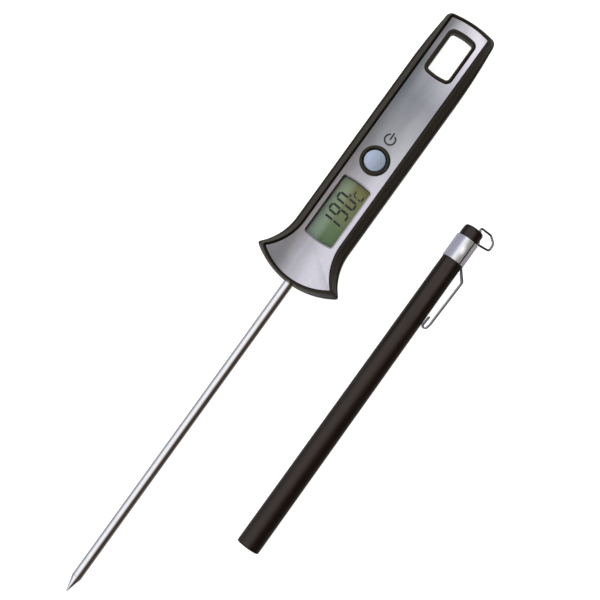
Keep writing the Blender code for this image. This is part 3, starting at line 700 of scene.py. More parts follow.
def lcd_background():
    """A reflective display's grey-green with a painted reflection: paler and cooler on the -X side; towards +X
    darker, and browner at the far corner.
    """
    look = Look("lcd_background", specular=0.12)
    length = look.along("Y", LCD_LOW.y + 1.0, LCD_HIGH.y - 1.0)
    # the -X side, paled and cooled by a painted reflection
    painted_haze_side = look.ramp(length, [(0.0, (0.50, 0.60, 0.52)), (0.5, (0.46, 0.55, 0.42)), (1.0, (0.54, 0.62, 0.43))])
    warm = look.ramp(length, [
        (0.0, (0.17, 0.28, 0.115)), (0.3, (0.21, 0.295, 0.125)), (0.5, (0.32, 0.32, 0.155)),
        (1.0, (0.36, 0.30, 0.095)),
    ])
    across = look.along("X", -WINDOW_HALF[0], WINDOW_HALF[0] - 1.0)
    turn = look.ramp(across, [(0.0, 0.0), (0.36, 0.18), (0.46, 0.45), (0.56, 0.92), (1.0, 1.0)])
    mottle = look.mottled(look.noise(0.5, 4.0), 0.94, 1.05)
    look.feed(
        Base_Color=look.mix(1.0, look.mix(turn, painted_haze_side, warm), mottle, "MULTIPLY"),
        Roughness=look.spread(look.noise(1.0, 3.0), 0.35, 0.5),
    )
    return look.material


def lcd_ink():
    """The nearly black green of the lit segments."""
    look = Look("lcd_ink", specular=0.2)
    look.feed(
        Base_Color=look.mottled(look.noise(0.8, 2.0), (0.006, 0.009, 0.005), (0.011, 0.015, 0.008)),
        Roughness=look.spread(look.noise(1.0), 0.5, 0.65),
    )
    return look.material


def plain(name, dark, light, gloss, metallic=0.0, size_mm=1.5):
    """A simple mottled finish for the small and inner pieces."""
    look = Look(name, metallic)
    look.feed(
        Base_Color=look.mottled(look.noise(size_mm, 4.0), dark, light),
        Roughness=look.spread(look.noise(size_mm * 0.7, 3.0), *gloss),
    )
    look.bump(look.noise(size_mm * 0.2, 2.0), 0.1, 0.02)
    return look.material


def circuit_board_look():
    """Green solder mask over copper tracks that run along the board."""
    look = Look("solder_mask")
    tracks = look.noise(0.9, 1.0, (0.6, 9.0, 1.0))
    look.feed(
        Base_Color=look.ramp(tracks, [(0.46, (0.012, 0.075, 0.030)), (0.50, (0.030, 0.150, 0.060))]),
        Roughness=look.spread(look.noise(0.8), 0.3, 0.45),
    )
    look.bump(tracks, 0.3, 0.03)
    return look.material


# ---- the thermometer's shells ----


def screw_centre(node):
    """The (x, y) of a screw's axis."""
    low, high = extent(node)
    return (low.x + high.x) / 2, (low.y + high.y) / 2


def at_screws(*profile, segments=32):
    """The same turned solid on every screw's axis."""
    return [turned(profile, centre=screw_centre(node), segments=segments) for node in SCREW_NODES]


def front_shell(black):
    """The upper shell: convex sloping sides, a rounded rim round the faceplate and a bead round the hole."""
    low_z = FRONT_LOW.z
    outer_round, inner_round, bead_round = 0.22, 0.14, 0.45
    levels = levels_of(SHELL, (-0.28, low_z), (-0.12, low_z + 0.02), (-0.03, low_z + 0.10), (0.0, low_z + 0.25))
    slope_low, slope_high = low_z + 0.25, CREST_Z - outer_round
    for k in range(1, 9):
        share = k / 9
        swell = 0.16 * math.sin(math.pi * share)
        outline = mixed(handle_outline(SHELL, swell), handle_outline(PLATE, RIM + swell), share)
        levels.append((outline, slope_low + (slope_high - slope_low) * share))
    for turn in (0, 22, 45, 67, 90):
        a = math.radians(turn)
        levels += levels_of(PLATE, (RIM - 0.18 * (1 - math.cos(a)), slope_high + outer_round * math.sin(a)))
    for turn in (90, 60, 30, 0):
        a = math.radians(turn)
        z = CREST_Z - inner_round + inner_round * math.sin(a)
        levels += levels_of(PLATE, (0.66 - 0.16 * math.cos(a), z))
    levels += levels_of(PLATE, (PLATE_GAP + 0.06, PLATE_HIGH.z - 0.02), (PLATE_GAP, PLATE_HIGH.z - 0.1),
                        (PLATE_GAP, BED_Z))
    shell = add_piece("front_shell", lofted(levels), black)
    ceiling = mixed(handle_outline(SHELL, -WALL), handle_outline(PLATE, RIM - WALL), 0.55)
    wall = handle_outline(SHELL, -WALL)
    cut(shell, lofted([(wall, SEAM_Z - 1.0), (wall, SEAM_Z + 0.6), (ceiling, CEILING_Z)]))
    clamp = box((-4.2, 4.2), (BASE_Y + 1.2, BASE_Y + 11.0), (SEAM_Z + 0.3, CEILING_Z + 0.4))
    rounds = [(bead_round * math.cos(a), CREST_Z - bead_round + 0.43 * math.sin(a))
              for a in (0.35, 0.7, 1.05, 1.4)]
    bead = hole_levels((HOLE_RIM, 8.8), (HOLE_RIM, CREST_Z - bead_round),
                       *[(HOLE_RIM - bead_round + reach, z) for reach, z in rounds])
    join(shell, lofted(bead), clamp, *at_screws(*pillar(2.0, SEAM_Z + 0.3, CEILING_Z + 0.4)))
    mouth = hole_levels((0.0, 8.0), (0.0, CREST_Z - bead_round),
                        *[(bead_round - reach, z) for reach, z in rounds], (bead_round, CREST_Z + 0.3))
    cut(
        shell,
        lofted(mouth),
        lofted([(window(-0.1), 9.0), (window(-0.1), 14.0)]),
        lofted([(window(1.0), LENS_LOW.z - 0.2), (window(1.0), 14.0)]),
        rod(BEZEL_NECK + 0.3, 9.0, 14.0, centre=(0.0, BUTTON_Y)),
        *at_screws(*pillar(1.0, SEAM_Z - 1.0, 9.4), segments=24),
        *probe_seat(),
    )
    smooth(shell)
    show(shell, "thermometer", "front_housing", "front_housing")


def probe_seat():
    """The room for the seal and the collar, and the mouth that the tube leaves by."""
    seat = rod(3.7, BASE_Y + 1.5, BASE_Y + 10.5, "Y", (0.0, PROBE_Z))
    return seat, rod(PROBE_RADIUS + 0.3, BASE_Y - 2.0, BASE_Y + 14.0, "Y", (0.0, PROBE_Z), 62)


def rear_shell(black):
    """The lower shell: rounded sides, a flat back, and the openings for the battery, the screws and hanging."""
    top_z = REAR_HIGH.z
    levels = levels_of(SHELL, (-0.28, top_z), (-0.12, top_z - 0.02), (-0.03, top_z - 0.10), (0.0, top_z - 0.25),
                       (-0.01, 4.6), (-0.05, 3.2))
    for turn in range(0, 91, 15):
        a = math.radians(turn)
        levels += levels_of(SHELL, (-1.9 + 1.8 * math.cos(a), 2.2 - 2.2 * math.sin(a)))
    shell = add_piece("rear_shell", lofted(levels, lifted=True), black)
    cut(shell, lofted(levels_of(SHELL, (-2.4, WALL), (-1.6, 2.7), (-WALL, SEAM_Z + 1.0)), lifted=True))
    cover, cover_radius = (0.0, BATTERY_Y), COVER_HIGH.x
    sleeve = lofted(hole_levels((2.8, 0.7), (2.0, 8.5)), lifted=True)
    join(shell, sleeve, rod(8.4, 1.0, 6.5, centre=cover), *at_screws(*pillar(2.5, 0.6, SEAM_Z - 0.3)))
    recess = [(0.0, -1.0), (cover_radius + 0.9, -1.0), (cover_radius + 0.45, 0.12), (cover_radius + 0.3, 0.25),
              (cover_radius + 0.3, 0.95), (0.0, 0.95)]
    cut(
        shell,
        lofted(hole_levels((2.5, -1.0), (1.86, 3.4), (1.5, 4.2), (0.9, 9.0))),
        rod(6.15, 1.75, 8.0, centre=cover),
        rod(7.6, WALL, COVER_HIGH.z + 0.3, centre=cover),
        turned(recess, centre=cover),
        rod(6.6, -1.0, 2.0, centre=cover),
        lug_bars(7.6, 2.0, (0.5, 2.0), 60.0),
        *at_screws((0.0, -1.0), (2.5, -1.0), (2.05, 0.12), (1.9, 0.3), (1.9, 1.8), (0.0, 1.8), segments=48),
        *at_screws(*pillar(1.05, 0.0, 8.0)),
        *probe_seat(),
    )
    smooth(shell)
    show(shell, "thermometer", "rear_housing", "rear_housing")


def lug_bars(reach, half_width, z, turn_deg):
    """A bar across the battery cover's centre, whose ends are the two bayonet lugs or their slots."""
    mesh = box((-reach, reach), (-half_width, half_width), z)
    turn = Matrix.Rotation(math.radians(turn_deg), 4, "Z")
    bmesh.ops.transform(mesh, matrix=Matrix.Translation((0.0, BATTERY_Y, 0.0)) @ turn, verts=mesh.verts)
    return mesh


def faceplate(steel):
    """The sheet, with a fine bright edge and chamfers round its openings."""
    top, low = PLATE_HIGH.z, PLATE_LOW.z
    levels = levels_of(PLATE, (0.0, low), (0.0, top - 0.12), (-0.04, top - 0.04), (-0.12, top))
    plate = add_piece("faceplate_sheet", lofted(levels), steel)
    steps = ((0.0, low - 1.0), (0.0, low + 0.06), (0.44, top - 0.03), (0.5, top + 0.02), (0.55, top + 1.0))
    collar = BEZEL_NECK + 0.2
    ring = [(0.0, low - 1.0), (collar, low - 1.0), (collar, top - 0.1), (collar + 0.14, top + 0.04),
            (collar + 0.14, top + 1.0), (0.0, top + 1.0)]
    gap = expanded(HOLE, HOLE_RIM + PLATE_GAP)
    wider = expanded(gap, 0.14)
    cut(
        plate,
        lofted([(window(grow), z) for grow, z in steps]),
        turned(ring, centre=(0.0, BUTTON_Y)),
        lofted([(gap, low - 1.0), (gap, top - 0.1), (wider, top + 0.04), (wider, top + 1.0)]),
    )
    smooth(plate, 25.0)
    show(plate, "thermometer", "faceplate", "faceplate")


# ---- the display ----


def display(window_look, background, ink):
    """The window, the panel under it and the panel's reading."""
    lens_half = ((LENS_HIGH.x - LENS_LOW.x) / 2, (LENS_HIGH.y - LENS_LOW.y) / 2 - 0.2)
    lens = slot_half(lens_half, DISPLAY_Y, 1.2, 0.2)
    levels = [(lens, LENS_LOW.z), (lens, LENS_HIGH.z - 0.12), (expanded(lens, -0.04), LENS_HIGH.z - 0.04),
              (expanded(lens, -0.12), LENS_HIGH.z)]
    pane = add_piece("display_pane", lofted(levels), window_look, 20.0)
    show(pane, "thermometer", "display_lens", "display_lens")

    glass = box((LCD_LOW.x, LCD_HIGH.x), (LCD_LOW.y, LCD_HIGH.y), (LCD_LOW.z, LCD_HIGH.z - 0.02))
    bmesh.ops.bevel(glass, geom=glass.edges, offset=0.12, segments=3, profile=0.5, affect="EDGES")
    panel = add_piece("lcd_glass", glass, background)
    show(panel, "thermometer", "lcd_panel", "lcd_panel")
    digits = add_piece("lcd_digits", merged(reading()), ink)
    show(digits, "thermometer", "lcd_panel")


DIGIT_HEIGHT, DIGIT_WIDTH, DIGIT_PITCH = 7.7, 3.25, 4.55
SLANT = math.tan(math.radians(5.0))
LIT = {"1": "bc", "9": "abcdfg", "0": "abcdef", "C": "adef"}
INK_Z = (LCD_HIGH.z - 0.02, LCD_HIGH.z)


def reading():
    """The segments of a reading of 190 degrees. It runs along +Y, and the digits' tops are towards -X."""
    first = DISPLAY_Y - 6.3
    meshes = []
    for k, sign in enumerate("190"):
        meshes += segments(sign, first + k * DIGIT_PITCH, -3.85, DIGIT_WIDTH, DIGIT_HEIGHT, 0.80)
    meshes += segments("C", first + 2.93 * DIGIT_PITCH, 0.55, 2.5, 3.75, 0.5)
    centre = (-0.1, first + 2.93 * DIGIT_PITCH - 0.05)
    outer, inner = arc(centre, 0.52, 0.0, 360.0, 24), arc(centre, 0.2, 0.0, 360.0, 24)
    degree = bmesh.new()
    rings = [[degree.verts.new((x, y, z)) for x, y in ring[:-1]] for ring in (outer, inner) for z in INK_Z]
    for a, b in ((0, 1), (1, 3), (3, 2), (2, 0)):
        bridge(degree, rings[a], rings[b])
    meshes.append(degree)
    return meshes


def segments(sign, start_y, top_x, width, height, stroke):
    """The lit bars of one seven-segment digit, whose top left corner is at (top_x, start_y)."""
    half, middle, gap = stroke / 2, height / 2, 0.09
    spans = {
        "a": ((half, half), (width - half, half)),
        "b": ((width - half, half), (width - half, middle)),
        "c": ((width - half, middle), (width - half, height - half)),
        "d": ((half, height - half), (width - half, height - half)),
        "e": ((half, middle), (half, height - half)),
        "f": ((half, half), (half, middle)),
        "g": ((half, middle), (width - half, middle)),
    }
    meshes = []
    for key in LIT[sign]:
        (right_0, down_0), (right_1, down_1) = spans[key]
        start, end = Vector((right_0, down_0)), Vector((right_1, down_1))
        along = (end - start).normalized()
        side = Vector((-along.y, along.x)) * half
        first, last = start + along * gap, end - along * gap
        points = [first, first + along * half + side, last - along * half + side, last,
                  last - along * half - side, first + along * half - side]
        placed = [(top_x + p.y, start_y + p.x + (height - p.y) * SLANT) for p in points]
        meshes.append(prism(placed, *INK_Z))
    return meshes


# ---- the button and its mark ----


def button(cap_look, bezel_look, ink):
    """The domed cap, the ring round it and the printed mark."""
    centre = (0.0, BUTTON_Y)
    low, top = CAP_LOW.z, CAP_HIGH.z
    spread, rise = 0.9, 0.42
    dome = [(CAP_RADIUS * math.sin(a), top - rise * (1 - math.cos(a)) / (1 - math.cos(spread)))
            for a in [spread * k / 12 for k in range(12)]]
    side = [(0.0, low), (4.6, low), (4.6, low + 0.6), (CAP_RADIUS, low + 0.6), (CAP_RADIUS, top - 0.62)]
    edge = [(CAP_RADIUS - 0.10, top - 0.44), (CAP_RADIUS - 0.32, top - 0.34)]
    crown = [(r, z) for r, z in reversed(dome) if r < CAP_RADIUS - 0.6]
    cap = add_piece("button_cap", turned(side + edge + crown, centre=centre), cap_look)
    show(cap, "button", "power_button", "power_button")

    lowest, highest = BEZEL_LOW.z, BEZEL_HIGH.z
    neck = [(BEZEL_BORE, lowest), (BEZEL_NECK, lowest), (BEZEL_NECK, highest - 0.62),
            (BEZEL_RADIUS, highest - 0.62)]
    middle, half, round_z = (BEZEL_RADIUS + BEZEL_BORE) / 2, (BEZEL_RADIUS - BEZEL_BORE) / 2, highest - 0.5
    crest = [(middle + half * math.cos(a), round_z + 0.5 * math.sin(a))
             for a in [math.pi * k / 14 for k in range(15)]]
    bezel = add_piece("bezel_ring", turned(neck + crest, centre=centre, ring=True), bezel_look)
    show(bezel, "thermometer", "button_bezel", "button_bezel")

    mark = add_piece("power_mark", merged(power_mark()), ink)
    show(mark, "thermometer", "faceplate")


def power_mark():
    """The usual sign for on and off, printed above the button: an open ring and a bar through its gap."""
    centre_y = BUTTON_Y + 8.75
    low, high = PLATE_HIGH.z - 0.01, PLATE_HIGH.z + 0.015
    radius, half = 1.82, 0.29
    start, end = 90.0 + 34.0, 450.0 - 34.0
    outer = arc((0.0, centre_y), radius + half, start, end, 48)
    inner = arc((0.0, centre_y), radius - half, end, start, 48)
    caps = []
    for turn, offset in ((end, 0.0), (start, 180.0)):
        a = math.radians(turn)
        spot = (radius * math.cos(a), centre_y + radius * math.sin(a))
        caps.append(arc(spot, half, turn + offset, turn + offset + 180.0, 8)[1:-1])
    ring = outer + caps[0] + inner + caps[1]
    bar_low, bar_high = centre_y + 0.15, centre_y + 2.35
    bar = arc((0.0, bar_high), half, 0.0, 180.0, 8) + arc((0.0, bar_low), half, 180.0, 360.0, 8)
    return [prism(ring, low, high), prism(bar, low, high)]


# ---- the back ----


def battery_door(black):
    """The cover, with a coin slot and a ring of grip notches."""
    centre = (0.0, BATTERY_Y)
    low, high, radius = COVER_LOW.z, COVER_HIGH.z, COVER_HIGH.x
    shoulder = low + 0.55
    profile = [(0.0, low), (radius, low), (radius, shoulder), (6.3, shoulder), (6.3, high), (0.0, high)]
    door = add_piece("battery_door", turned(rounded(profile, 0.3), centre=centre), black)
    join(door, lug_bars(7.25, 1.6, (1.8, high), 0.0))
    slot = box((-0.7, 0.7), (-4.5, 4.5), (-0.5, 0.7))
    upright = [edge for edge in slot.edges if abs(edge.verts[0].co.z - edge.verts[1].co.z) > 0.5]
    bmesh.ops.bevel(slot, geom=upright, offset=0.68, segments=8, profile=0.5, affect="EDGES")
    bmesh.ops.translate(slot, vec=(0.0, BATTERY_Y, 0.0), verts=slot.verts)
    notch = [(0.0, -0.6), (0.42, -0.6), (0.42, low - 0.02), (0.30, low + 0.10), (0.0, low + 0.14)]
    notches = []
    for k in range(24):
        turn = math.radians(15.0 * k)
        spot = (6.9 * math.cos(turn), BATTERY_Y + 6.9 * math.sin(turn))
        notches.append(turned(notch, centre=spot, segments=16))
    cut(door, slot, *notches)
    smooth(door, 30.0)
    show(door, "battery_door", "battery_cover", "battery_cover")


def screws(steel):
    """The four housing screws, point upwards in their bosses: a countersunk head with a cross, and a thread."""
    thread_pitch = 0.72
    for number, node in enumerate(SCREW_NODES, 1):
        low, high = extent(node)
        x, y = screw_centre(node)
        radius = (high.x - low.x) / 2
        head = [(0.0, low.z), (radius - 0.5, low.z + 0.02), (radius - 0.22, low.z + 0.12),
                (radius - 0.05, low.z + 0.3), (radius, low.z + 0.5), (radius, low.z + 0.9), (0.8, low.z + 0.9)]
        threads = []
        for k in range(8):
            z = low.z + 1.1 + k * thread_pitch
            threads += [(0.62, z), (0.8, z + 0.2), (0.8, z + 0.28), (0.62, z + 0.48)]
        point = [(0.45, high.z - 0.3), (0.12, high.z), (0.0, high.z)]
        screw = add_piece(f"screw_{number}", turned(head + threads + point, centre=(x, y), segments=48), steel)
        arms = [box((x - 0.95, x + 0.95), (y - 0.17, y + 0.17), (0.0, 1.15)),
                box((x - 0.17, x + 0.17), (y - 0.95, y + 0.95), (0.0, 1.15))]
        cut(screw, *arms)
        smooth(screw, 30.0)
        show(screw, "thermometer", "screws", node)


# ---- the probe ----


def probe(steel):
    """The tube, open inside, and the tip with its plug up the tube."""
    centre = (0.0, PROBE_Z)
    shoulder = TUBE_LOW.y
    bore = 1.4
    tube = [(PROBE_RADIUS, TUBE_HIGH.y), (PROBE_RADIUS, shoulder + 0.05), (PROBE_RADIUS - 0.05, shoulder),
            (bore, shoulder), (bore, TUBE_HIGH.y)]
    pipe = add_piece("probe_pipe", turned(tube, "Y", centre, ring=True), steel, 25.0)
    show(pipe, "thermometer", "probe_steel", "probe_tube")
    start = shoulder - 0.05
    tip = [(0.0, TIP_HIGH.y), (1.15, TIP_HIGH.y), (1.15, start), (PROBE_RADIUS - 0.05, start),
           (PROBE_RADIUS, start - 0.05), (PROBE_RADIUS, start - 0.35), (1.68, start - 0.75),
           (1.52, start - 1.2), (0.24, TIP_LOW.y + 0.3), (0.14, TIP_LOW.y + 0.1), (0.0, TIP_LOW.y)]
    point = add_piece("probe_point", turned(tip, "Y", centre), steel, 25.0)
    show(point, "thermometer", "probe_steel", "probe_tip")


# ---- the sheath ----


def sheath(black, bright, wire_look):
    """The closed tube, the clip with the slit in its band, and the ring."""
    centre = (SHEATH_X, SHEATH_Z)
    inside = [(0.0, CLOSED_Y - 3.05), (0.6, CLOSED_Y - 3.15), (2.95, CLOSED_Y - 9.45), (3.15, MOUTH_Y + 0.3)]
    outside = [(3.30, MOUTH_Y), (3.95, MOUTH_Y), (SHEATH_RADIUS, MOUTH_Y + 0.35),
               (SHEATH_RADIUS, MOUTH_Y + 0.9), (3.85, BAND_Y[0] - 0.3), (3.78, BAND_Y[0] - 0.2),
               (3.72, BAND_Y[1])]
    end = [(3.65, CLOSED_Y - 1.2), (3.45, CLOSED_Y - 0.5), (2.9, CLOSED_Y - 0.16), (1.8, CLOSED_Y - 0.05)]
    profile = rounded(inside + outside + end + [(0.0, CLOSED_Y)], 0.5, 6)
    tube = add_piece("sheath_body", turned(profile, "Y", centre), black)
    start, direction = eye_line()
    cut(tube, bore_along(start - direction * 2.0, direction, EYE_RADIUS, 10.0))
    smooth(tube, 30.0)
    show(tube, "sheath", "sheath_tube", "sheath_tube")

    clip = add_piece("clip_band", turned(rounded_ring(), "Y", centre, 128, ring=True), bright)
    join(clip, clip_arm())
    slit = box((SHEATH_X + 1.0, SHEATH_X + 6.0), (BAND_Y[0] - 1.0, BAND_Y[1] + 1.0),
               (SHEATH_Z - SLIT_HALF, SHEATH_Z + SLIT_HALF))
    turn_about_sheath(slit, SLIT_TURN_DEG)
    cut(clip, slit)
    smooth(clip, 35.0)
    show(clip, "sheath", "clip_steel", "sheath_clip")

    ring = add_piece("ring_wire", ring_wire(), wire_look, 60.0)
    show(ring, "ring", "ring_steel", "sheath_ring")


def rounded_ring():
    """The band's cross-section, with soft edges."""
    inner, outer = BAND_RADIUS
    low, high = BAND_Y
    return [(inner, low + 0.04), (inner + 0.04, low), (outer - 0.12, low), (outer - 0.04, low + 0.04),
            (outer, low + 0.14), (outer, high - 0.14), (outer - 0.04, high - 0.04), (outer - 0.12, high),
            (inner + 0.04, high), (inner, high - 0.04)]


def eye_line():
    """Where the ring's slanting hole leaves the end face, and its direction towards the side."""
    first = Vector((SHEATH_X + 1.9, BASE_Y + 51.5, SHEATH_Z))
    last = Vector((SHEATH_X + 3.65, BASE_Y + 48.0, SHEATH_Z))
    return first, (last - first).normalized()


def bore_along(start, direction, radius, length):
    """A cylinder from start in this direction."""
    mesh = bmesh.new()
    bmesh.ops.create_cone(mesh, cap_ends=True, segments=40, radius1=radius, radius2=radius, depth=length)
    turn = direction.to_track_quat("Z", "Y").to_matrix().to_4x4()
    middle = Matrix.Translation(start + direction * length / 2)
    bmesh.ops.transform(mesh, matrix=middle @ turn, verts=mesh.verts)
    return mesh


def rounded_path(points, radii, closed, steps=12):
    """The flat path through points, with each corner rounded to its radius."""
    count = len(points)
    path = []
    for i, (point, radius) in enumerate(zip(points, radii)):
        here = Vector(point)
        if not closed and i in (0, count - 1):
            path.append(here)
            continue
        back = (Vector(points[i - 1]) - here).normalized()
        ahead = (Vector(points[(i + 1) % count]) - here).normalized()
        half_angle = back.angle(ahead) / 2
        centre = here + (back + ahead).normalized() * radius / math.sin(half_angle)
        start = here + back * radius / math.tan(half_angle) - centre
        end = here + ahead * radius / math.tan(half_angle) - centre
        turn = start.angle(end)
        for k in range(steps + 1):
            share = k / steps
            blend = (math.sin((1 - share) * turn) * start + math.sin(share * turn) * end) / math.sin(turn)
            path.append(centre + blend)
    return path


def clip_arm():
    """The spring strip from the band, out over the sheath's side, to its curled end."""
    middle = sum(BAND_RADIUS) / 2
    points = [(middle, 39.6), (middle, 37.9), (6.95, 33.9), (6.35, 16.0), (5.5, 12.5), (4.4, 14.7),
              (4.65, 18.2)]
    points = [(x, BASE_Y + y) for x, y in points]
    path = rounded_path(points, [0.0, 0.7, 1.5, 1.4, 0.8, 1.0, 0.0], closed=False)
    path.insert(1, Vector((middle, BASE_Y + 38.8)))
    mesh = bmesh.new()
    rows = []
    half, edge = ARM_WIDTH / 2, 0.09
    spots = [-half + edge * 0.3, -half + edge] + [ARM_WIDTH * k / 8 for k in range(-3, 4)]
    spots += [half - edge, half - edge * 0.3]
    for i, point in enumerate(path):
        before, after = path[max(i - 1, 0)], path[min(i + 1, len(path) - 1)]
        along = (after - before).normalized()
        normal = Vector((-along.y, along.x))
        curve = max(0.0, min(1.0, (point.y - BASE_Y - 35.5) / 2.0))
        thick = ARM_THICKNESS - 0.18 * curve
        row = []
        for sign in (-0.5, 0.5):
            for k, spot in enumerate(spots if sign < 0 else spots[::-1]):
                thin = 0.55 if k in (0, len(spots) - 1) else 1.0
                sag = curve * (middle - math.sqrt(middle**2 - spot**2))
                place = point + normal * sign * thick * thin
                row.append(mesh.verts.new((SHEATH_X + place.x - sag, place.y, SHEATH_Z + spot)))
        rows.append(row)
    for low, high in zip(rows, rows[1:]):
        bridge(mesh, low, high)
    mesh.faces.new(rows[0])
    mesh.faces.new(rows[-1])
    turn_about_sheath(mesh, ARM_TURN_DEG)
    return mesh


def turn_about_sheath(mesh, degrees):
    """Turns a mesh about the sheath's axis, upwards from its +X side."""
    turn = math.radians(degrees)
    for vertex in mesh.verts:
        x, z = vertex.co.x - SHEATH_X, vertex.co.z - SHEATH_Z
        vertex.co.x = SHEATH_X + x * math.cos(turn) - z * math.sin(turn)
        vertex.co.z = SHEATH_Z + x * math.sin(turn) + z * math.cos(turn)


def ring_wire():
    """A closed wire ring whose straight side turns in the slanting hole. It droops almost to the surface."""
    floor_gap = 0.07
    corners = [(-0.05, 0.0), (5.85, 0.0), (6.94, 5.0), (4.3, 6.59), (1.6, 4.9)]
    shape = rounded_path(corners, [0.6, 0.45, 1.3, 1.8, 1.6], closed=True)
    reach = max(point.y for point in shape)
    droop = math.asin((SHEATH_Z - WIRE_RADIUS - floor_gap) / reach)
    start, direction = eye_line()
    origin = start - direction * 1.35
    level = Vector((-direction.y, direction.x, 0.0))
    outward = level * math.cos(droop) - Vector((0.0, 0.0, math.sin(droop)))
    path = [origin + direction * point.x + outward * point.y for point in shape]
    return swept(path, WIRE_RADIUS, direction.cross(outward))


# ---- looks of the CAD nodes that stay ----


INNER_LOOKS = [
    # name, dark colour, light colour, roughness, metallic, size of the mottling in millimetres, nodes
    ("inner_black", 0.03, 0.06, (0.4, 0.6), 0.0, 1.5, ["lcd_holder", "switch_body"]),
    ("zebra_rubber", (0.60, 0.30, 0.26), (0.78, 0.46, 0.40), (0.6, 0.8), 0.0, 1.5, ["zebra_strip"]),
    ("epoxy_drop", 0.010, 0.025, (0.15, 0.3), 0.0, 1.5, ["controller_blob"]),
    ("plunger_white", (0.50, 0.50, 0.47), (0.66, 0.66, 0.63), (0.4, 0.6), 0.0, 1.5, ["switch_plunger"]),
    ("nickel", (0.58, 0.57, 0.53), (0.76, 0.74, 0.69), (0.2, 0.4), 1.0, 1.5,
     ["battery_cell", "battery_contact_negative", "battery_contact_positive"]),
    ("turned_brass", (0.50, 0.36, 0.15), (0.66, 0.50, 0.24), (0.2, 0.35), 1.0, 0.8, ["probe_collar"]),
    ("seal_rubber", 0.012, 0.03, (0.6, 0.8), 0.0, 1.5, ["probe_seal"]),
    ("bead_epoxy", 0.03, 0.06, (0.2, 0.35), 0.0, 1.5, ["thermistor_bead"]),
    ("lead_insulation", (0.45, 0.40, 0.34), (0.60, 0.55, 0.49), (0.4, 0.55), 0.0, 1.5,
     ["thermistor_lead_1", "thermistor_lead_2"]),
]


def dress(node, material):
    data = frame["nodes"][node].data
    data.materials.clear()
    data.materials.append(material)


def dress_inner_pieces():
    dress("circuit_board", circuit_board_look())
    for *finish, nodes in INNER_LOOKS:
        material = plain(*finish)
        for node in nodes:
            dress(node, material)


# ---- the studio ----


SKY = [(-180, 0.40), (-98, 0.33), (-68, 0.72), (-42, 1.08), (-14, 1.06), (6, 0.78), (28, 0.20), (50, 0.045),
       (80, 0.045), (108, 0.16), (150, 0.36), (180, 0.40)]  # brightness by degrees from overhead, towards +X


def sky_color(degrees, value):
    """Almost neutral, but yellowish in the dark part on the right."""
    blue = 0.6 if 20 < degrees < 120 else 1.02
    return value, value * (1 + blue) / 2, value * blue


def surround():
    """What the object reflects: bright from the left and overhead, dark on the right, even at both ends."""
    world = bpy.data.worlds.new("studio")
    bpy.context.scene.world = world
    world.use_nodes = True
    sky = Nodes(world.node_tree, "Generated")
    turn = sky.spread(sky.compute("ARCTAN2", sky.part("X"), sky.part("Z")), 0.0, 1.0, -math.pi, math.pi)
    stops = [((degrees + 180) / 360, sky_color(degrees, value)) for degrees, value in SKY]
    fade = sky.spread(sky.compute("ABSOLUTE", sky.part("Y")), 0.0, 1.0, 0.70, 0.98)
    fade.node.interpolation_type = "SMOOTHSTEP"
    color = sky.mix(fade, sky.ramp(turn, stops, True), (0.42, 0.42, 0.43))
    sky.link(color, sky.tree.nodes["Background"].inputs["Color"])


def pale_floor():
    """A white floor just below the object, which it doesn't reflect."""
    look = Look("pale_floor", specular=0.1)
    look.feed(Base_Color=rgba(0.86), Roughness=0.9, Emission_Color=rgba(1.0), Emission_Strength=0.86)
    mesh = bmesh.new()
    bmesh.ops.create_grid(mesh, x_segments=1, y_segments=1, size=3000.0)
    floor = add_piece("floor", mesh, look.material)
    floor.location.z = -0.0001
    floor.visible_glossy = False


def strip_light():
    """A weak strip above the sheath's side, for the highlight along the bright metal."""
    data = bpy.data.lights.new("strip", "AREA")
    data.shape = "RECTANGLE"
    data.size, data.size_y = 0.27, 0.06
    data.energy = 0.066
    strip = bpy.data.objects.new("strip", data)
    strip.location = Vector((195.0, 45.0, 300.0)) * MM
    bpy.context.scene.collection.objects.link(strip)


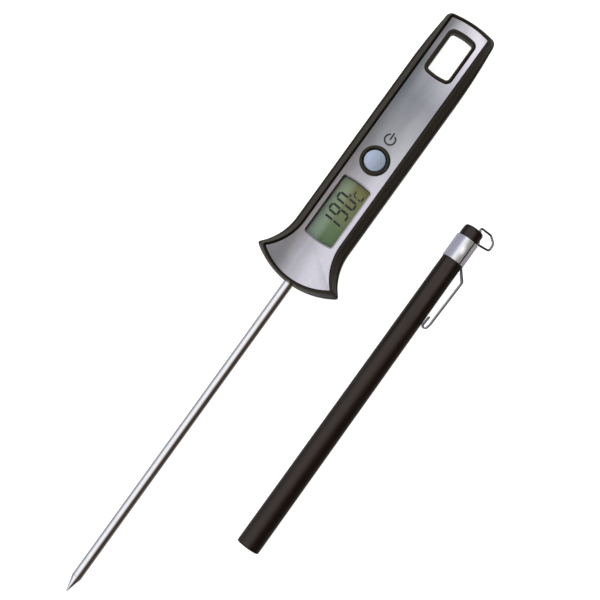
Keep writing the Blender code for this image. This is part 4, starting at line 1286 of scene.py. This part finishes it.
def camera():
    """Nearly overhead, at the angle and distance that give the handle its place and its slight perspective."""
    aim, distance = Vector((5.81, -44.3, 0.0)) * MM, 0.47656
    azimuth, elevation, roll = (math.radians(degrees) for degrees in (63.19, 84.13, 35.8))
    level = Vector((math.sin(azimuth), -math.cos(azimuth), 0.0)) * math.cos(elevation)
    back = level + Vector((0.0, 0.0, math.sin(elevation)))
    right = Vector((-math.sin(roll), math.cos(roll), 0.0)).cross(back).normalized()
    up = back.cross(right)
    data = bpy.data.cameras.new("camera")
    data.lens = 84.0
    data.sensor_width = 36.0
    data.clip_start, data.clip_end = 0.01, 20.0
    obj = bpy.data.objects.new("camera", data)
    turn = Matrix((right, up, back)).transposed().to_4x4()
    obj.matrix_world = Matrix.Translation(aim + back * distance) @ turn
    bpy.context.scene.collection.objects.link(obj)
    bpy.context.scene.camera = obj


def main():
    black = moulded("shell_plastic", (0.0088, 0.0052, 0.0028), (0.0122, 0.0074, 0.0042))
    ink = plain("print_ink", (0.012, 0.010, 0.010), (0.02, 0.017, 0.016), (0.35, 0.5))
    even = (1.0, 1.0, 1.0)
    front_shell(black)
    rear_shell(moulded("back_plastic", (0.0090, 0.0056, 0.0034), (0.0128, 0.0082, 0.0052), (0.42, 0.56),
                       grain=0.3))
    faceplate(brushed_plate())
    display(clear_window(), lcd_background(), lcd_ink())
    glossy_black = moulded("bezel_plastic", (0.006, 0.005, 0.004), (0.009, 0.008, 0.006), (0.15, 0.25),
                           grain=0.03)
    button(cap_plastic(), glossy_black, ink)
    battery_door(moulded("door_plastic", (0.0090, 0.0056, 0.0034), (0.0132, 0.0086, 0.0055), (0.38, 0.5),
                         grain=0.3))
    screws(polished("screw_steel", (0.40, 0.40, 0.41), (0.58, 0.58, 0.59), (0.25, 0.4), even))
    probe(polished("probe_steel", (0.80, 0.80, 0.84), (0.88, 0.88, 0.92), (0.10, 0.17)))
    sheath(
        moulded("sheath_plastic", (0.0095, 0.0052, 0.0040), (0.0135, 0.0078, 0.0062), (0.26, 0.36), 0.5,
                grain=0.10, tint=(1.0, 0.86, 0.82)),
        spring_steel(),
        polished("ring_wire_steel", (0.30, 0.30, 0.32), (0.44, 0.44, 0.46), (0.15, 0.25), even),
    )
    dress_inner_pieces()
    surround()
    pale_floor()
    strip_light()
    camera()
    bpy.context.scene.view_settings.view_transform = "Standard"


main()
